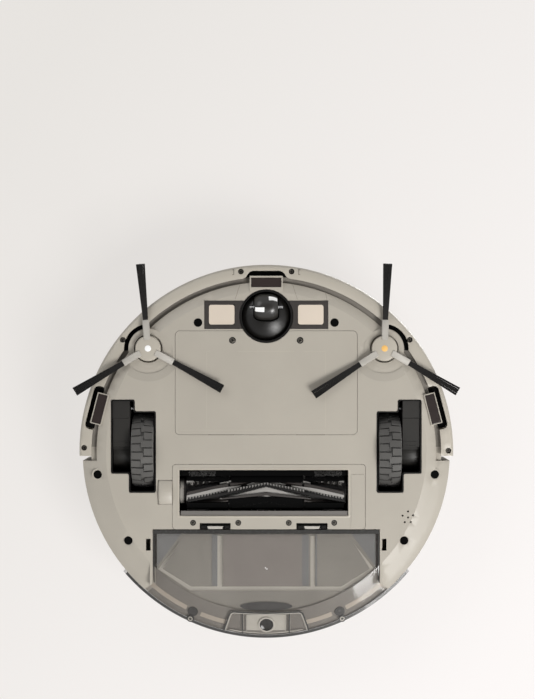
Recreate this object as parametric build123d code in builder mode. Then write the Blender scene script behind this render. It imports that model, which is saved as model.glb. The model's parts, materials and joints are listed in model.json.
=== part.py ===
from build123d import *
from math import cos, radians, sin
import os

# Robot vacuum cleaner, millimetres. The robot stands on its wheels on the floor at z = 0,
# its bumper facing -Y and its dustbin +Y. The origin is the centre of the round body on the floor.

# ---- driving dimensions -------------------------------------------------------------------
BODY_R = 165.0          # bumper and dustbin, the widest circle
FLANK_R = 162.4         # base and top shell at the sides
FLAT_R = 141.0          # edge of the flat underside
CHASSIS_R = 149.6       # chassis wall behind the bumper
LIP_R = 154.0           # inner lip of the bumper
UNDER_Z = 9.0           # flat underside above the floor
FLANK_Z = 17.0          # top of the sloped flank
SPLIT_Z = 40.0          # base shell meets top shell
BUMPER_TOP_Z = 77.0
ROOF_Z = 78.0           # top of the top shell
TOP_Z = 80.0            # top of the top plate
TURRET_Z = 96.0         # top of the scanner turret
WALL = 2.4
FIT = 0.3               # gap between parts that only sit beside each other
RUN = 0.05              # running clearance of a shaft in its bush
BUMPER_TRAVEL = 3.0
BUMPER_END_Y = 3.5
CHASSIS_END_Y = BUMPER_END_Y + BUMPER_TRAVEL + 1.5

TYRE_R = 33.0
TYRE_X = (99.0, 119.0)  # inner and outer face of the tyre
PIVOT_Y, PIVOT_Z = -38.0, 30.0
PIN_R = 2.0
SWING_R = 20.8          # the arm's underside starts this far from its pivot
ARM_FACE_Z = 11.0
MOTOR_R = 7.2

HUB_X, HUB_Y = 103.8, -91.1     # side brush shaft
CUP_Y = -119.5                  # caster swivel axis
CASTER_R = 12.0
CASTER_TRAIL = 8.0
ROLLER_Y, ROLLER_Z = 35.5, 26.0
GUARD = (-82.5, 87.2, 11.0, 68.0)       # brush guard and its window: x, x, y, y
WINDOW = (-76.4, 72.1, 15.9, 56.1)
GUARD_SCREW_Y = 62.3
GUARD_SCREW_X = (-64.4, -24.6, 19.8, 59.8)
LATCHES = {"left": (-58.3, -31.7), "right": (26.8, 53.6)}
BATTERY = (-80.0, 80.0, -106.5, -15.3)  # battery cover
COVER_SCREW = (29.8, -98.3)
BIN_FRONT_Y = 68.5
BIN_HALF = 99.5
BIN_TOP_Z = 70.0
SCANNER_Y = 30.0

os.makedirs("parts", exist_ok=True)


# ---- small helpers ------------------------------------------------------------------------
def save(builder, name):
    """Label a finished piece and write it to its own file."""
    builder.part.label = name
    export_step(builder.part, f"parts/{name}.step")


def block(x0, x1, y0, y1, z0, z1, mode=Mode.ADD):
    """A box between opposite corners, in the part being built."""
    with Locations(((x0 + x1) / 2, (y0 + y1) / 2, (z0 + z1) / 2)):
        Box(abs(x1 - x0), abs(y1 - y0), abs(z1 - z0), mode=mode)


def slab(corners, radius, z0, z1, mode=Mode.ADD):
    """A block with rounded upright edges, from (x, x, y, y) corners."""
    x0, x1, y0, y1 = corners
    with BuildSketch(Plane.XY.offset(z0)) as plan:
        with Locations(((x0 + x1) / 2, (y0 + y1) / 2)):
            RectangleRounded(x1 - x0, y1 - y0, radius)
    extrude(plan.sketch, amount=z1 - z0, mode=mode)


def grown(corners, gap):
    """Corners moved outwards by a gap."""
    x0, x1, y0, y1 = corners
    return x0 - gap, x1 + gap, y0 - gap, y1 + gap


def post(x, y, r, z0, z1, mode=Mode.ADD):
    """An upright cylinder."""
    with Locations((x, y, (z0 + z1) / 2)):
        Cylinder(r, z1 - z0, mode=mode)


def bar_x(x0, x1, y, z, r, mode=Mode.ADD):
    """A cylinder lying along X."""
    with Locations(((x0 + x1) / 2, y, z)):
        Cylinder(r, abs(x1 - x0), rotation=(0, 90, 0), mode=mode)


def bar_y(y0, y1, x, z, r, mode=Mode.ADD):
    """A cylinder lying along Y."""
    with Locations((x, (y0 + y1) / 2, z)):
        Cylinder(r, abs(y1 - y0), rotation=(90, 0, 0), mode=mode)


def lathe(points):
    """A solid of revolution about the body axis, from (radius, height) points."""
    with BuildPart() as turned:
        with BuildSketch(Plane.XZ):
            with BuildLine():
                Polyline(*points, close=True)
            make_face()
        revolve(axis=Axis.Z)
    return turned.part


def front_ring(inner_r, end_y, z0, z1):
    """The half ring in front of end_y, outside inner_r: the bumper's room."""
    with BuildPart() as ring:
        with BuildSketch(Plane.XY.offset(z0)):
            Circle(200)
            Circle(inner_r, mode=Mode.SUBTRACT)
            with Locations((0, end_y + 150)):
                Rectangle(420, 300, mode=Mode.SUBTRACT)
        extrude(amount=z1 - z0)
    return ring.part


def polar(r, angle):
    """The point at radius r and angle (degrees, from +X towards the bumper)."""
    return r * cos(radians(angle)), -r * sin(radians(angle))


# ---- shared outlines ----------------------------------------------------------------------
def bin_outline(grow):
    """The dustbin's plan: straight sides, flared at the back, grown by a gap."""
    with BuildSketch() as plan:
        with BuildLine():
            half = BIN_HALF + grow
            front = BIN_FRONT_Y - grow
            Polyline((-half, front), (-half, 116 - grow), (-half - 26, 137.5 - grow), (-half - 26, 200),
                     (half + 26, 200), (half + 26, 137.5 - grow), (half, 116 - grow), (half, front), close=True)
        make_face()
    return plan.sketch


def pod_outline(side, shrink):
    """The L-shaped plan of a wheel well: wheel part and arm part."""
    with BuildSketch() as plan:
        with Locations((side * 109.0, 0.05)):
            Rectangle(24.0 - 2 * shrink, 71.9 - 2 * shrink)
        with Locations((side * 126.2, -13.5)):
            Rectangle(21.2 - 2 * shrink, 65.4 - 2 * shrink)
        fillet(plan.vertices(), 1.8)
    return plan.sketch


DISH_DEPTH = 1.2                # shallow dish round a side brush, a cap of a large ball
DISH_BALL_R = 222.0
WELLS = [(60.1, -113.9), (148.6, 20.0), (121.4, 78.0)]
CLIFF_ANGLE = 14.5              # side cliff windows, in front of the wheel axis
CLIFF_R = 151.6
BUMPER_SCREW_ANGLES = [0.4, 38.0, 82.0, 98.0, 142.0, 178.7]
BUMPER_SCREW_R = 160.4


def cliff_place(side):
    """The place of a side cliff window, turned to face outwards."""
    x, y = polar(CLIFF_R, CLIFF_ANGLE)
    return Location((side * x, y, 0), (0, 0, -side * CLIFF_ANGLE))


# ---- base shell ---------------------------------------------------------------------------
shell_outer = lathe([(0, UNDER_Z), (FLAT_R, UNDER_Z), (FLANK_R, FLANK_Z), (FLANK_R, SPLIT_Z), (0, SPLIT_Z)])
shell_inner = lathe([(0, UNDER_Z + WALL), (FLAT_R - 0.9, UNDER_Z + WALL), (FLANK_R - WALL, FLANK_Z + 1.6),
                     (FLANK_R - WALL, SPLIT_Z + 1), (0, SPLIT_Z + 1)])
shell_inner = shell_inner - front_ring(CHASSIS_R - WALL, CHASSIS_END_Y + WALL, 0, 60)

with BuildPart() as base_shell:
    add(shell_outer)
    add(front_ring(CHASSIS_R, CHASSIS_END_Y, 0, 60), mode=Mode.SUBTRACT)
    add(shell_inner, mode=Mode.SUBTRACT)
    # ledge that closes the groove behind the bumper's lip
    with BuildSketch(Plane.XY.offset(15.5)):
        Circle(LIP_R + 0.6)
        Circle(CHASSIS_R - 1, mode=Mode.SUBTRACT)
        with Locations((0, CHASSIS_END_Y + 150)):
            Rectangle(420, 300, mode=Mode.SUBTRACT)
    extrude(amount=2)
    # bosses for the side brushes and for the three cliff windows, and the shallow dish round each brush
    for side in (-1, 1):
        with Locations((side * HUB_X, HUB_Y + 6.0, UNDER_Z + DISH_DEPTH - DISH_BALL_R)):
            Sphere(DISH_BALL_R, mode=Mode.SUBTRACT)
        post(side * HUB_X, HUB_Y, 17.5, UNDER_Z, 16)
        with Locations(cliff_place(side)):
            with Locations((0, 0, 11.5)):
                Box(10.0, 27.8, 5.0)
    block(-14.6, 14.6, -155.0, -141.0, UNDER_Z, 14)
    # tray that holds the battery
    slab(grown(BATTERY, FIT + 2.1), 6.4, UNDER_Z, 20)
    slab(grown(BATTERY, FIT), 4.3, UNDER_Z - 1, 21, mode=Mode.SUBTRACT)
    # dustbin bay: side walls, then the bay itself
    for side in (-1, 1):
        block(side * 99.9, side * 102.3, 66.0, 118.0, UNDER_Z, SPLIT_Z)
    extrude(bin_outline(0.5), amount=SPLIT_Z + 1, mode=Mode.SUBTRACT)
    # brush guard, roller bearing and caster openings
    slab(grown(GUARD, FIT), 3.3, 0, 20, mode=Mode.SUBTRACT)
    block(-95.5, -80, 24.7, 46.1, 0, 20, mode=Mode.SUBTRACT)
    post(0, CUP_Y, 23.7, 0, 20, mode=Mode.SUBTRACT)
    for side in (-1, 1):
        block(side * 15, side * 54.6, -133.3, -108.2, 0, 20, mode=Mode.SUBTRACT)
        extrude(pod_outline(side, 0), amount=20, mode=Mode.SUBTRACT)
        # side brush recess and shaft hole
        post(side * HUB_X, HUB_Y, 12.6, 0, 14.5, mode=Mode.SUBTRACT)
        post(side * HUB_X, HUB_Y, 3.0, 0, 20, mode=Mode.SUBTRACT)
        # side cliff window
        with Locations(cliff_place(side)):
            with Locations((0, 0, 10)):
                Box(8.4, 26.2, 20, mode=Mode.SUBTRACT)
        # slot of the dustbin's side catch
        block(side * 101.6, side * 105.8, 76.4, 86.8, 0, 12.5, mode=Mode.SUBTRACT)
        # screw wells
        for x, y in WELLS:
            post(side * x, y, 5.2, UNDER_Z + 3.2, 20)
            post(side * x, y, 3.8, 0, 16, mode=Mode.SUBTRACT)
            post(side * x, y, 1.6, 0, 30, mode=Mode.SUBTRACT)
    # front cliff window
    block(-13.4, 13.4, -153.5, -145.0, 0, 20, mode=Mode.SUBTRACT)
    # holes that let the speaker be heard
    with Locations((124.8, 52.3, 10), (120.0, 56.0, 10), (129.2, 55.7, 10), (124.8, 57.6, 10),
                   (121.9, 61.7, 10), (127.2, 61.7, 10)):
        Cylinder(0.9, 10, mode=Mode.SUBTRACT)
save(base_shell, "base_shell")

# ---- top shell ----------------------------------------------------------------------------
roof_outer = lathe([(0, SPLIT_Z), (FLANK_R, SPLIT_Z), (FLANK_R, 73.5), (FLANK_R - 1.3, 76.7),
                    (FLANK_R - 4.5, ROOF_Z), (0, ROOF_Z)])
roof_inner = lathe([(0, SPLIT_Z - 1), (FLANK_R - WALL, SPLIT_Z - 1), (FLANK_R - WALL, 73.0),
                    (FLANK_R - WALL - 2.5, ROOF_Z - WALL), (0, ROOF_Z - WALL)])
roof_inner = roof_inner - front_ring(CHASSIS_R - WALL, CHASSIS_END_Y + WALL, 0, 90)

with BuildPart() as top_shell:
    add(roof_outer)
    add(front_ring(CHASSIS_R, CHASSIS_END_Y, 0, 90), mode=Mode.SUBTRACT)
    add(roof_inner, mode=Mode.SUBTRACT)
    for side in (-1, 1):
        block(side * 99.9, side * 102.3, 66.0, 118.0, SPLIT_Z, 76)
    extrude(bin_outline(0.5), amount=73.4, mode=Mode.SUBTRACT)
    # rear scallop above the release button, holes for the scanner and the two buttons
    block(-31.5, 31.5, 151.5, 170, 70, 90, mode=Mode.SUBTRACT)
    post(0, SCANNER_Y, 38.0, 70, 90, mode=Mode.SUBTRACT)
    for x in (-14.0, 14.0):
        post(x, -92, 9.3, 70, 90, mode=Mode.SUBTRACT)
    # exhaust slots in both flanks
    for angle in (-14, -17, -20, -23, -26, -29, -151, -154, -157, -160, -163, -166):
        x, y = polar(FLANK_R - 1, angle)
        with Locations(Location((x, y, 57), (0, 0, -angle))):
            Box(8, 3.0, 16, mode=Mode.SUBTRACT)
save(top_shell, "top_shell")

with BuildPart() as top_plate:
    post(0, 0, 147, ROOF_Z, TOP_Z)
    fillet(top_plate.faces().sort_by(Axis.Z)[-1].edges(), 1.2)
    post(0, SCANNER_Y, 47.6, 70, 90, mode=Mode.SUBTRACT)
    for x in (-14.0, 14.0):
        post(x, -92, 9.3, 70, 90, mode=Mode.SUBTRACT)
save(top_plate, "top_plate")

# ---- bumper -------------------------------------------------------------------------------
bumper_ring = lathe([(LIP_R, 9.6), (162.6, 10.2), (164.3, 11.4), (BODY_R, 13.4), (BODY_R, 72.5),
                     (163.4, 75.6), (160, BUMPER_TOP_Z), (153.2, BUMPER_TOP_Z), (153.2, 75), (159.6, 75),
                     (161.6, 74), (162.6, 72),
                     (162.6, 17), (161.4, 14.8), (159.4, 12.8), (LIP_R, 12)])
with BuildPart() as bumper:
    add(bumper_ring)
    for angle in BUMPER_SCREW_ANGLES:
        post(*polar(BUMPER_SCREW_R - 1, angle), 3.4, 11.2, 15)
    block(-200, 200, BUMPER_END_Y, 200, 0, 100, mode=Mode.SUBTRACT)
    # notches that clear the brush bosses and the cliff windows
    for side in (-1, 1):
        post(side * HUB_X, HUB_Y, 21.6, 0, 16.5, mode=Mode.SUBTRACT)
        with BuildSketch():
            with Locations(cliff_place(side)):
                RectangleRounded(18.4, 39.0, 4.5)
        extrude(amount=16, mode=Mode.SUBTRACT)
    with BuildSketch():
        with BuildLine():
            Polyline((-11.5, -159.6), (11.5, -159.6), (14.4, -158.7), (16.3, -156.6), (17.7, -154.2),
                     (20.4, -152.4), (25, -151.2), (25, -148), (-25, -148), (-25, -151.2), (-20.4, -152.4),
                     (-17.7, -154.2), (-16.3, -156.6), (-14.4, -158.7), close=True)
        make_face()
    extrude(amount=16, mode=Mode.SUBTRACT)
    # screw holes
    for angle in BUMPER_SCREW_ANGLES:
        x, y = polar(BUMPER_SCREW_R, angle)
        post(x, y, 2.5, 0, 13.5, mode=Mode.SUBTRACT)
        post(x, y, 1.1, 0, 16, mode=Mode.SUBTRACT)
    # slot for the dark sensor strip
    with BuildSketch(Plane.XY.offset(34)):
        with BuildLine():
            Polyline((0, 0), polar(220, 52), polar(260, 90), polar(220, 128), close=True)
        make_face()
        Circle(158, mode=Mode.SUBTRACT)
    extrude(amount=24, mode=Mode.SUBTRACT)
save(bumper, "bumper")

with BuildPart() as bumper_window:
    with BuildSketch(Plane.XY.offset(34.2)):
        with BuildLine():
            Polyline((0, 0), polar(220, 52.1), polar(260, 90), polar(220, 127.9), close=True)
        make_face()
        Circle(162.7, mode=Mode.SUBTRACT)
        Circle(BODY_R - 0.1, mode=Mode.INTERSECT)
    extrude(amount=23.6)
save(bumper_window, "bumper_window")

with BuildPart() as bumper_screws:
    for angle in BUMPER_SCREW_ANGLES:
        x, y = polar(BUMPER_SCREW_R, angle)
        post(x, y, 2.3, 12.0, 13.5)
        post(x, y, 1.0, 13.5, 15)
save(bumper_screws, "bumper_screws")


def coil(x, y, z, direction, length, radius, wire, turns):
    """A helical spring standing on (x, y, z) along a unit direction."""
    with BuildPart() as spring:
        plane = Plane(origin=(x, y, z), z_dir=direction)
        path = Helix(pitch=length / turns, height=length, radius=radius).moved(plane.location)
        with BuildSketch(Plane(origin=path @ 0, z_dir=path % 0)):
            Circle(wire)
        sweep(path=path, is_frenet=True)
    return spring.part


with BuildPart() as bumper_springs:
    for x in (-60.0, 60.0):
        add(coil(x, -138.4, 30, (0, -1, 0), 11.0, 3.2, 0.5, 4))
save(bumper_springs, "bumper_springs")

# ---- screws of the base shell -------------------------------------------------------------
with BuildPart() as chassis_screws:
    for side in (-1, 1):
        for x, y in WELLS:
            post(side * x, y, 3.2, 14.2, 16)
            post(side * x, y, 1.5, 16, 24)
        post(side * COVER_SCREW[0], COVER_SCREW[1], 2.6, 9.6, 11.0)
        post(side * COVER_SCREW[0], COVER_SCREW[1], 1.2, 11.0, 15)
save(chassis_screws, "chassis_screws")

# ---- caster -------------------------------------------------------------------------------
WHEEL_Y = CUP_Y - CASTER_TRAIL
with BuildPart() as caster_cup:
    post(0, CUP_Y, 23.4, UNDER_Z, 40)
    post(0, CUP_Y, 21.6, 0, 37, mode=Mode.SUBTRACT)
    post(0, CUP_Y, 8.0, 37, 50)
    post(0, CUP_Y, 4.0 + RUN, 30, 48, mode=Mode.SUBTRACT)
save(caster_cup, "caster_cup")

with BuildPart() as caster_swivel:
    post(0, CUP_Y, 20.6, 10, 28)
    fillet(caster_swivel.faces().sort_by(Axis.Z)[-1].edges(), 4)
    post(0, CUP_Y, 7.0, 26, 36.5)
    post(0, CUP_Y, 4.0, 36, 47)
    # slot for the wheel, open below, and the snap grooves of its axle
    block(-10.8, 10.8, CUP_Y - 25, WHEEL_Y + CASTER_R + 0.8, 0, 25.5, mode=Mode.SUBTRACT)
    block(-15, 15, WHEEL_Y - 1.5 - RUN, WHEEL_Y + 1.5 + RUN, 0, CASTER_R, mode=Mode.SUBTRACT)
    bar_x(-15, 15, WHEEL_Y, CASTER_R, 1.5 + RUN, mode=Mode.SUBTRACT)
save(caster_swivel, "caster_swivel")

with BuildPart() as caster_wheel:
    bar_x(-9.6, 9.6, WHEEL_Y, CASTER_R, CASTER_R)
    fillet(caster_wheel.edges().filter_by(GeomType.CIRCLE), 3.5)
    bar_x(-20, 20, WHEEL_Y, CASTER_R, 1.5 + RUN, mode=Mode.SUBTRACT)
save(caster_wheel, "caster_wheel")

with BuildPart() as caster_axle:
    bar_x(-14.6, 14.6, WHEEL_Y, CASTER_R, 1.5)
save(caster_axle, "caster_axle")

# ---- charging contacts --------------------------------------------------------------------
with BuildPart() as contact_bezels:
    for side in (-1, 1):
        block(side * 15.3, side * 54.3, -133.0, -108.5, UNDER_Z, 13)
    post(0, CUP_Y, 23.7, 0, 20, mode=Mode.SUBTRACT)
    for side in (-1, 1):
        block(side * 27.8, side * 50.6, -129.7, -112.0, 0, 11.5, mode=Mode.SUBTRACT)
save(contact_bezels, "contact_bezels")

with BuildPart() as contact_pads:
    for side in (-1, 1):
        with BuildSketch(Plane.XY.offset(UNDER_Z - 0.2)):
            with Locations((side * 39.2, -120.85)):
                RectangleRounded(22.4, 17.3, 2.0)
        extrude(amount=2.7)
save(contact_pads, "contact_pads")

# ---- cliff windows ------------------------------------------------------------------------
with BuildPart() as cliff_window_front:
    block(-13.2, 13.2, -153.3, -145.2, UNDER_Z + 0.5, 13.5)
save(cliff_window_front, "cliff_window_front")

for side, name in ((-1, "cliff_window_left"), (1, "cliff_window_right")):
    with BuildPart() as cliff_window:
        with Locations(cliff_place(side)):
            with Locations((0, 0, 11.5)):
                Box(8.0, 25.8, 4)
    save(cliff_window, name)

# ---- battery and electronics --------------------------------------------------------------
with BuildPart() as battery_cover:
    slab(BATTERY, 4, UNDER_Z, 11.4)
    post(0, CUP_Y, 23.7, 0, 20, mode=Mode.SUBTRACT)
    for side in (-1, 1):
        post(side * COVER_SCREW[0], COVER_SCREW[1], 3.0, 0, 11.0, mode=Mode.SUBTRACT)
        post(side * COVER_SCREW[0], COVER_SCREW[1], 1.4, 0, 15, mode=Mode.SUBTRACT)
save(battery_cover, "battery_cover")

with BuildPart() as battery_pack:
    block(-72, 72, -93, -20, 11.6, 34)
    fillet(battery_pack.edges().filter_by(Axis.Z), 3)
save(battery_pack, "battery_pack")

with BuildPart() as main_board:
    block(-72, 72, -98, -18, 44, 45.6)
    block(-20, 14, -70, -36, 45.6, 49)
    block(30, 52, -60, -38, 45.6, 48)
    block(-60, -40, -90, -70, 45.6, 55)
save(main_board, "main_board")

with BuildPart() as speaker:
    post(119.0, 56.0, 11, 14.5, 19)
    post(119.0, 56.0, 7, 19, 26)
save(speaker, "speaker")

# ---- drive wheels -------------------------------------------------------------------------
for side, hand in ((-1, "left"), (1, "right")):
    with BuildPart() as wheel_pod:
        with BuildSketch(Plane.XY.offset(UNDER_Z + 0.3)):
            add(pod_outline(side, 0.25))
        extrude(amount=60.7)
        with BuildSketch(Plane.XY):
            add(pod_outline(side, 1.25))
        extrude(amount=68.6, mode=Mode.SUBTRACT)
        bar_x(side * 110, side * 140, PIVOT_Y, PIVOT_Z, PIN_R, mode=Mode.SUBTRACT)
        # lip below the pivot, ending on an arc about it, so that the arm swings past
        with BuildSketch(Plane.YZ.offset(120.0 if side > 0 else -136.2)):
            with BuildLine():
                Polyline((-45.5, ARM_FACE_Z), (-10, ARM_FACE_Z), (-10, ARM_FACE_Z + 1.2), (-45.5, ARM_FACE_Z + 1.2),
                         close=True)
            make_face()
            with Locations((PIVOT_Y, PIVOT_Z)):
                Circle(SWING_R - 0.3, mode=Mode.INTERSECT)
        extrude(amount=16.2)
    save(wheel_pod, f"{hand}_wheel_pod")

    with BuildPart() as wheel_arm:
        with BuildSketch(Plane.YZ.offset(120.2 if side > 0 else -135.0)):
            with BuildLine():
                Polyline((-33, ARM_FACE_Z), (-5, ARM_FACE_Z), (-5, 14), (-2, 14), (-2, 47), (-30, 47), (-33, 44),
                         close=True)
            make_face()
            with Locations((PIVOT_Y, PIVOT_Z)):
                Circle(SWING_R, mode=Mode.SUBTRACT)
                Circle(6.4)
            with BuildLine():
                Polyline((PIVOT_Y, PIVOT_Z - 6.4), (-22, 19), (-10, 19), (-10, 44), (-22, 44),
                         (PIVOT_Y, PIVOT_Z + 6.4), close=True)
            make_face()
            with Locations((0, TYRE_R)):
                Circle(17)
        extrude(amount=14.8)
        # pivot bore and the closed pocket of the motor
        bar_x(side * 118, side * 138, PIVOT_Y, PIVOT_Z, PIN_R + RUN, mode=Mode.SUBTRACT)
        bar_y(-29, -8, side * 127.6, 31, MOTOR_R + 0.1, mode=Mode.SUBTRACT)
        # axle of the wheel
        bar_x(side * 101.2, side * 121, 0, TYRE_R, 3.0)
    save(wheel_arm, f"{hand}_wheel_arm")

    with BuildPart() as wheel_motor:
        bar_y(-28.9, -8.1, side * 127.6, 31, MOTOR_R)
    save(wheel_motor, f"{hand}_wheel_motor")

    with BuildPart() as wheel_hub:
        bar_x(side * 100.6, side * 118.4, 0, TYRE_R, 27)
        bar_x(side * 104, side * 118.5, 0, TYRE_R, 23, mode=Mode.SUBTRACT)
        bar_x(side * 100.6, side * 118.4, 0, TYRE_R, 7)
        bar_x(side * 90, side * 125, 0, TYRE_R, 3.0 + RUN, mode=Mode.SUBTRACT)
    save(wheel_hub, f"{hand}_wheel_hub")

    with BuildPart() as tyre:
        bar_x(side * TYRE_X[0], side * TYRE_X[1], 0, TYRE_R, TYRE_R)
        fillet(tyre.edges().filter_by(GeomType.CIRCLE), 2.5)
        bar_x(side * 90, side * 125, 0, TYRE_R, 27, mode=Mode.SUBTRACT)
    save(tyre, f"{hand}_tyre")

    with BuildPart() as arm_spring:
        add(coil(side * 127.6, 2, 51.0, (0, 0, 1), 16.6, 4.0, 0.6, 5))
    save(arm_spring, f"{hand}_arm_spring")

with BuildPart() as arm_pins:
    for side in (-1, 1):
        bar_x(side * 114.4, side * 138.4, PIVOT_Y, PIVOT_Z, PIN_R)
save(arm_pins, "arm_pins")

# ---- side brushes -------------------------------------------------------------------------
BRUSH_ANGLES = {"left": (95.0, 210.7, 331.4), "right": (88.0, 213.0, 329.5)}
ARM_END = 25.0
TUFT_END = 74.5
for side, hand in ((-1, "left"), (1, "right")):
    with BuildPart() as brush_hub:
        post(side * HUB_X, HUB_Y, 11.2, 3.8, 8.0)
        fillet(brush_hub.faces().sort_by(Axis.Z)[0].edges(), 1.2)
        post(side * HUB_X, HUB_Y, 9.0, 8.0, 13.5)
        post(side * HUB_X, HUB_Y, 2.4 + RUN, 6.0, 20, mode=Mode.SUBTRACT)
    save(brush_hub, f"{hand}_brush_hub")

    with BuildPart() as brush_arms:
        post(side * HUB_X, HUB_Y, 12.2, 5.0, 7.6)
        for angle in BRUSH_ANGLES[hand]:
            with Locations(Location((side * HUB_X, HUB_Y, 6.3), (0, 0, -angle))):
                with Locations((ARM_END / 2, 0, 0)):
                    Box(ARM_END, 5.8, 2.6)
        post(side * HUB_X, HUB_Y, 11.2, 0, 20, mode=Mode.SUBTRACT)
    save(brush_arms, f"{hand}_brush_arms")

    with BuildPart() as brush_bristles:
        for angle in BRUSH_ANGLES[hand]:
            out = Vector(cos(radians(-angle)), sin(radians(-angle)), 0)
            hub = Vector(side * HUB_X, HUB_Y, 0)
            across = Vector(0, 0, 1).cross(out)
            start = Plane(origin=hub + out * ARM_END + Vector(0, 0, 6.3), x_dir=across, z_dir=out)
            tip = Plane(origin=hub + out * TUFT_END + Vector(0, 0, 2.2), x_dir=across, z_dir=out)
            with BuildSketch(start) as root_section:
                Rectangle(4.6, 2.2)
            with BuildSketch(tip) as tip_section:
                Rectangle(8.4, 1.6)
            loft(sections=[root_section.sketch, tip_section.sketch])
    save(brush_bristles, f"{hand}_brush_bristles")

with BuildPart() as side_brush_motors:
    for side in (-1, 1):
        post(side * (HUB_X - 4.0), HUB_Y + 3.5, 10, 16.2, 36)
        post(side * HUB_X, HUB_Y, 2.4, 7.0, 17)
save(side_brush_motors, "side_brush_motors")

# ---- main brush ---------------------------------------------------------------------------
with BuildPart() as brush_housing:
    block(-79.6, 79.6, 12.2, 67.6, 12, 52)
    bar_x(-78, 75, ROLLER_Y, ROLLER_Z, 21.2, mode=Mode.SUBTRACT)
    block(-78, 75, ROLLER_Y - 21.2, ROLLER_Y + 21.2, 0, ROLLER_Z, mode=Mode.SUBTRACT)
    block(-45, 45, 50, 70, 26, 44, mode=Mode.SUBTRACT)
    bar_x(-90, 90, ROLLER_Y, ROLLER_Z, 5.0, mode=Mode.SUBTRACT)
    for x in GUARD_SCREW_X:
        post(x, GUARD_SCREW_Y, 1.5, 0, 20, mode=Mode.SUBTRACT)
save(brush_housing, "brush_housing")

with BuildPart() as roller_core:
    bar_x(-72.2, 70.5, ROLLER_Y, ROLLER_Z, 12)
    bar_x(-76.4, -72.2, ROLLER_Y, ROLLER_Z, 11)
    bar_x(-90, 90, ROLLER_Y, ROLLER_Z, 4)
save(roller_core, "roller_core")


def vane(x_end, start_angle):
    """One half of a chevron blade, twisting from the middle of the roller to its end."""
    steps = 4
    with BuildPart() as blade:
        for step in range(steps + 1):
            x = x_end * step / steps
            turn = radians(start_angle + 50 * step / steps)
            out = Vector(0, cos(turn), sin(turn))
            with BuildSketch(Plane(origin=Vector(x, ROLLER_Y, ROLLER_Z) + out * 15.25, x_dir=out, z_dir=(1, 0, 0))):
                Rectangle(7.5, 2.2)
        loft(ruled=True)
    return blade.part


with BuildPart() as roller_blades:
    bar_x(-71, 69.5, ROLLER_Y, ROLLER_Z, 13.2)
    for start in range(0, 360, 60):
        add(vane(-70, start))
        add(vane(68.5, start))
    bar_x(-72, 72, ROLLER_Y, ROLLER_Z, 12, mode=Mode.SUBTRACT)
save(roller_blades, "roller_blades")

# the bearing's round housing shows through the shell beside the guard
with BuildPart() as roller_bearing:
    bar_x(-95.2, -82.9, ROLLER_Y, ROLLER_Z, 20.0)
    fillet(roller_bearing.faces().sort_by(Axis.X)[0].edges(), 2.0)
    block(-100, -80, ROLLER_Y - 10.4, ROLLER_Y + 10.4, 0, 36, mode=Mode.INTERSECT)
    block(-84, -80.0, 26.0, 44.8, 12, 36)
    bar_x(-93, -70, ROLLER_Y, ROLLER_Z, 4.0 + RUN, mode=Mode.SUBTRACT)
save(roller_bearing, "roller_bearing")

with BuildPart() as roller_motor:
    block(80.0, 94.0, 14, 58, 12.2, 70)
    bar_x(34, 81, 38, 63.5, 9.5)
    bar_x(70, 90.5, ROLLER_Y, ROLLER_Z, 4.0 + RUN, mode=Mode.SUBTRACT)
save(roller_motor, "roller_motor")

# the guard, its captive screws and its two pinch latches
with BuildPart() as brush_guard:
    slab(GUARD, 3, UNDER_Z, 11.6)
    slab(WINDOW, 0.8, 0, 20, mode=Mode.SUBTRACT)
    for x0, x1 in LATCHES.values():
        block(x0 - FIT, x1 + FIT, 62.6, 70, 0, 20, mode=Mode.SUBTRACT)
    for x in GUARD_SCREW_X:
        post(x, GUARD_SCREW_Y, 2.6, 0, 10.6, mode=Mode.SUBTRACT)
        post(x, GUARD_SCREW_Y, 1.2, 0, 20, mode=Mode.SUBTRACT)
save(brush_guard, "brush_guard")

with BuildPart() as guard_screws:
    for x in GUARD_SCREW_X:
        post(x, GUARD_SCREW_Y, 2.4, 9.4, 10.6)
        post(x, GUARD_SCREW_Y, 1.2, 10.6, 17)
save(guard_screws, "guard_screws")

for hand, (x0, x1) in LATCHES.items():
    with BuildPart() as guard_latch:
        block(x0, x1, 64.4, 67.9, UNDER_Z + 0.3, 11.6)
        middle = (x0 + x1) / 2
        block(middle - 7, middle + 7, 65.2, 67.0, UNDER_Z, 11.6)
    save(guard_latch, f"guard_latch_{hand}")

# ---- dustbin ------------------------------------------------------------------------------
bin_body = lathe([(0, UNDER_Z), (FLAT_R, UNDER_Z), (BODY_R, 18), (BODY_R, BIN_TOP_Z), (0, BIN_TOP_Z)])
bin_room = lathe([(0, UNDER_Z + 2), (FLAT_R - 0.8, UNDER_Z + 2), (BODY_R - 2.2, 19.6), (BODY_R - 2.2, 90), (0, 90)])
with BuildPart() as bin_blank:
    with BuildSketch():
        add(bin_outline(0))
    extrude(amount=90)
    add(bin_body, mode=Mode.INTERSECT)
    # rear face, a little wider than the tray
    with BuildSketch(Plane.XY.offset(18)):
        with BuildLine():
            Polyline((0, 0), polar(250, -40), polar(350, -90), polar(250, -140), close=True)
        make_face()
        Circle(BODY_R, mode=Mode.INTERSECT)
        Circle(FLANK_R + FIT, mode=Mode.SUBTRACT)
    extrude(amount=BIN_TOP_Z - 18)
with BuildPart() as dust_room:
    with BuildSketch(Plane.XY.offset(UNDER_Z)):
        add(bin_outline(-2.0))
    extrude(amount=90)
    add(bin_room, mode=Mode.INTERSECT)
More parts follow.
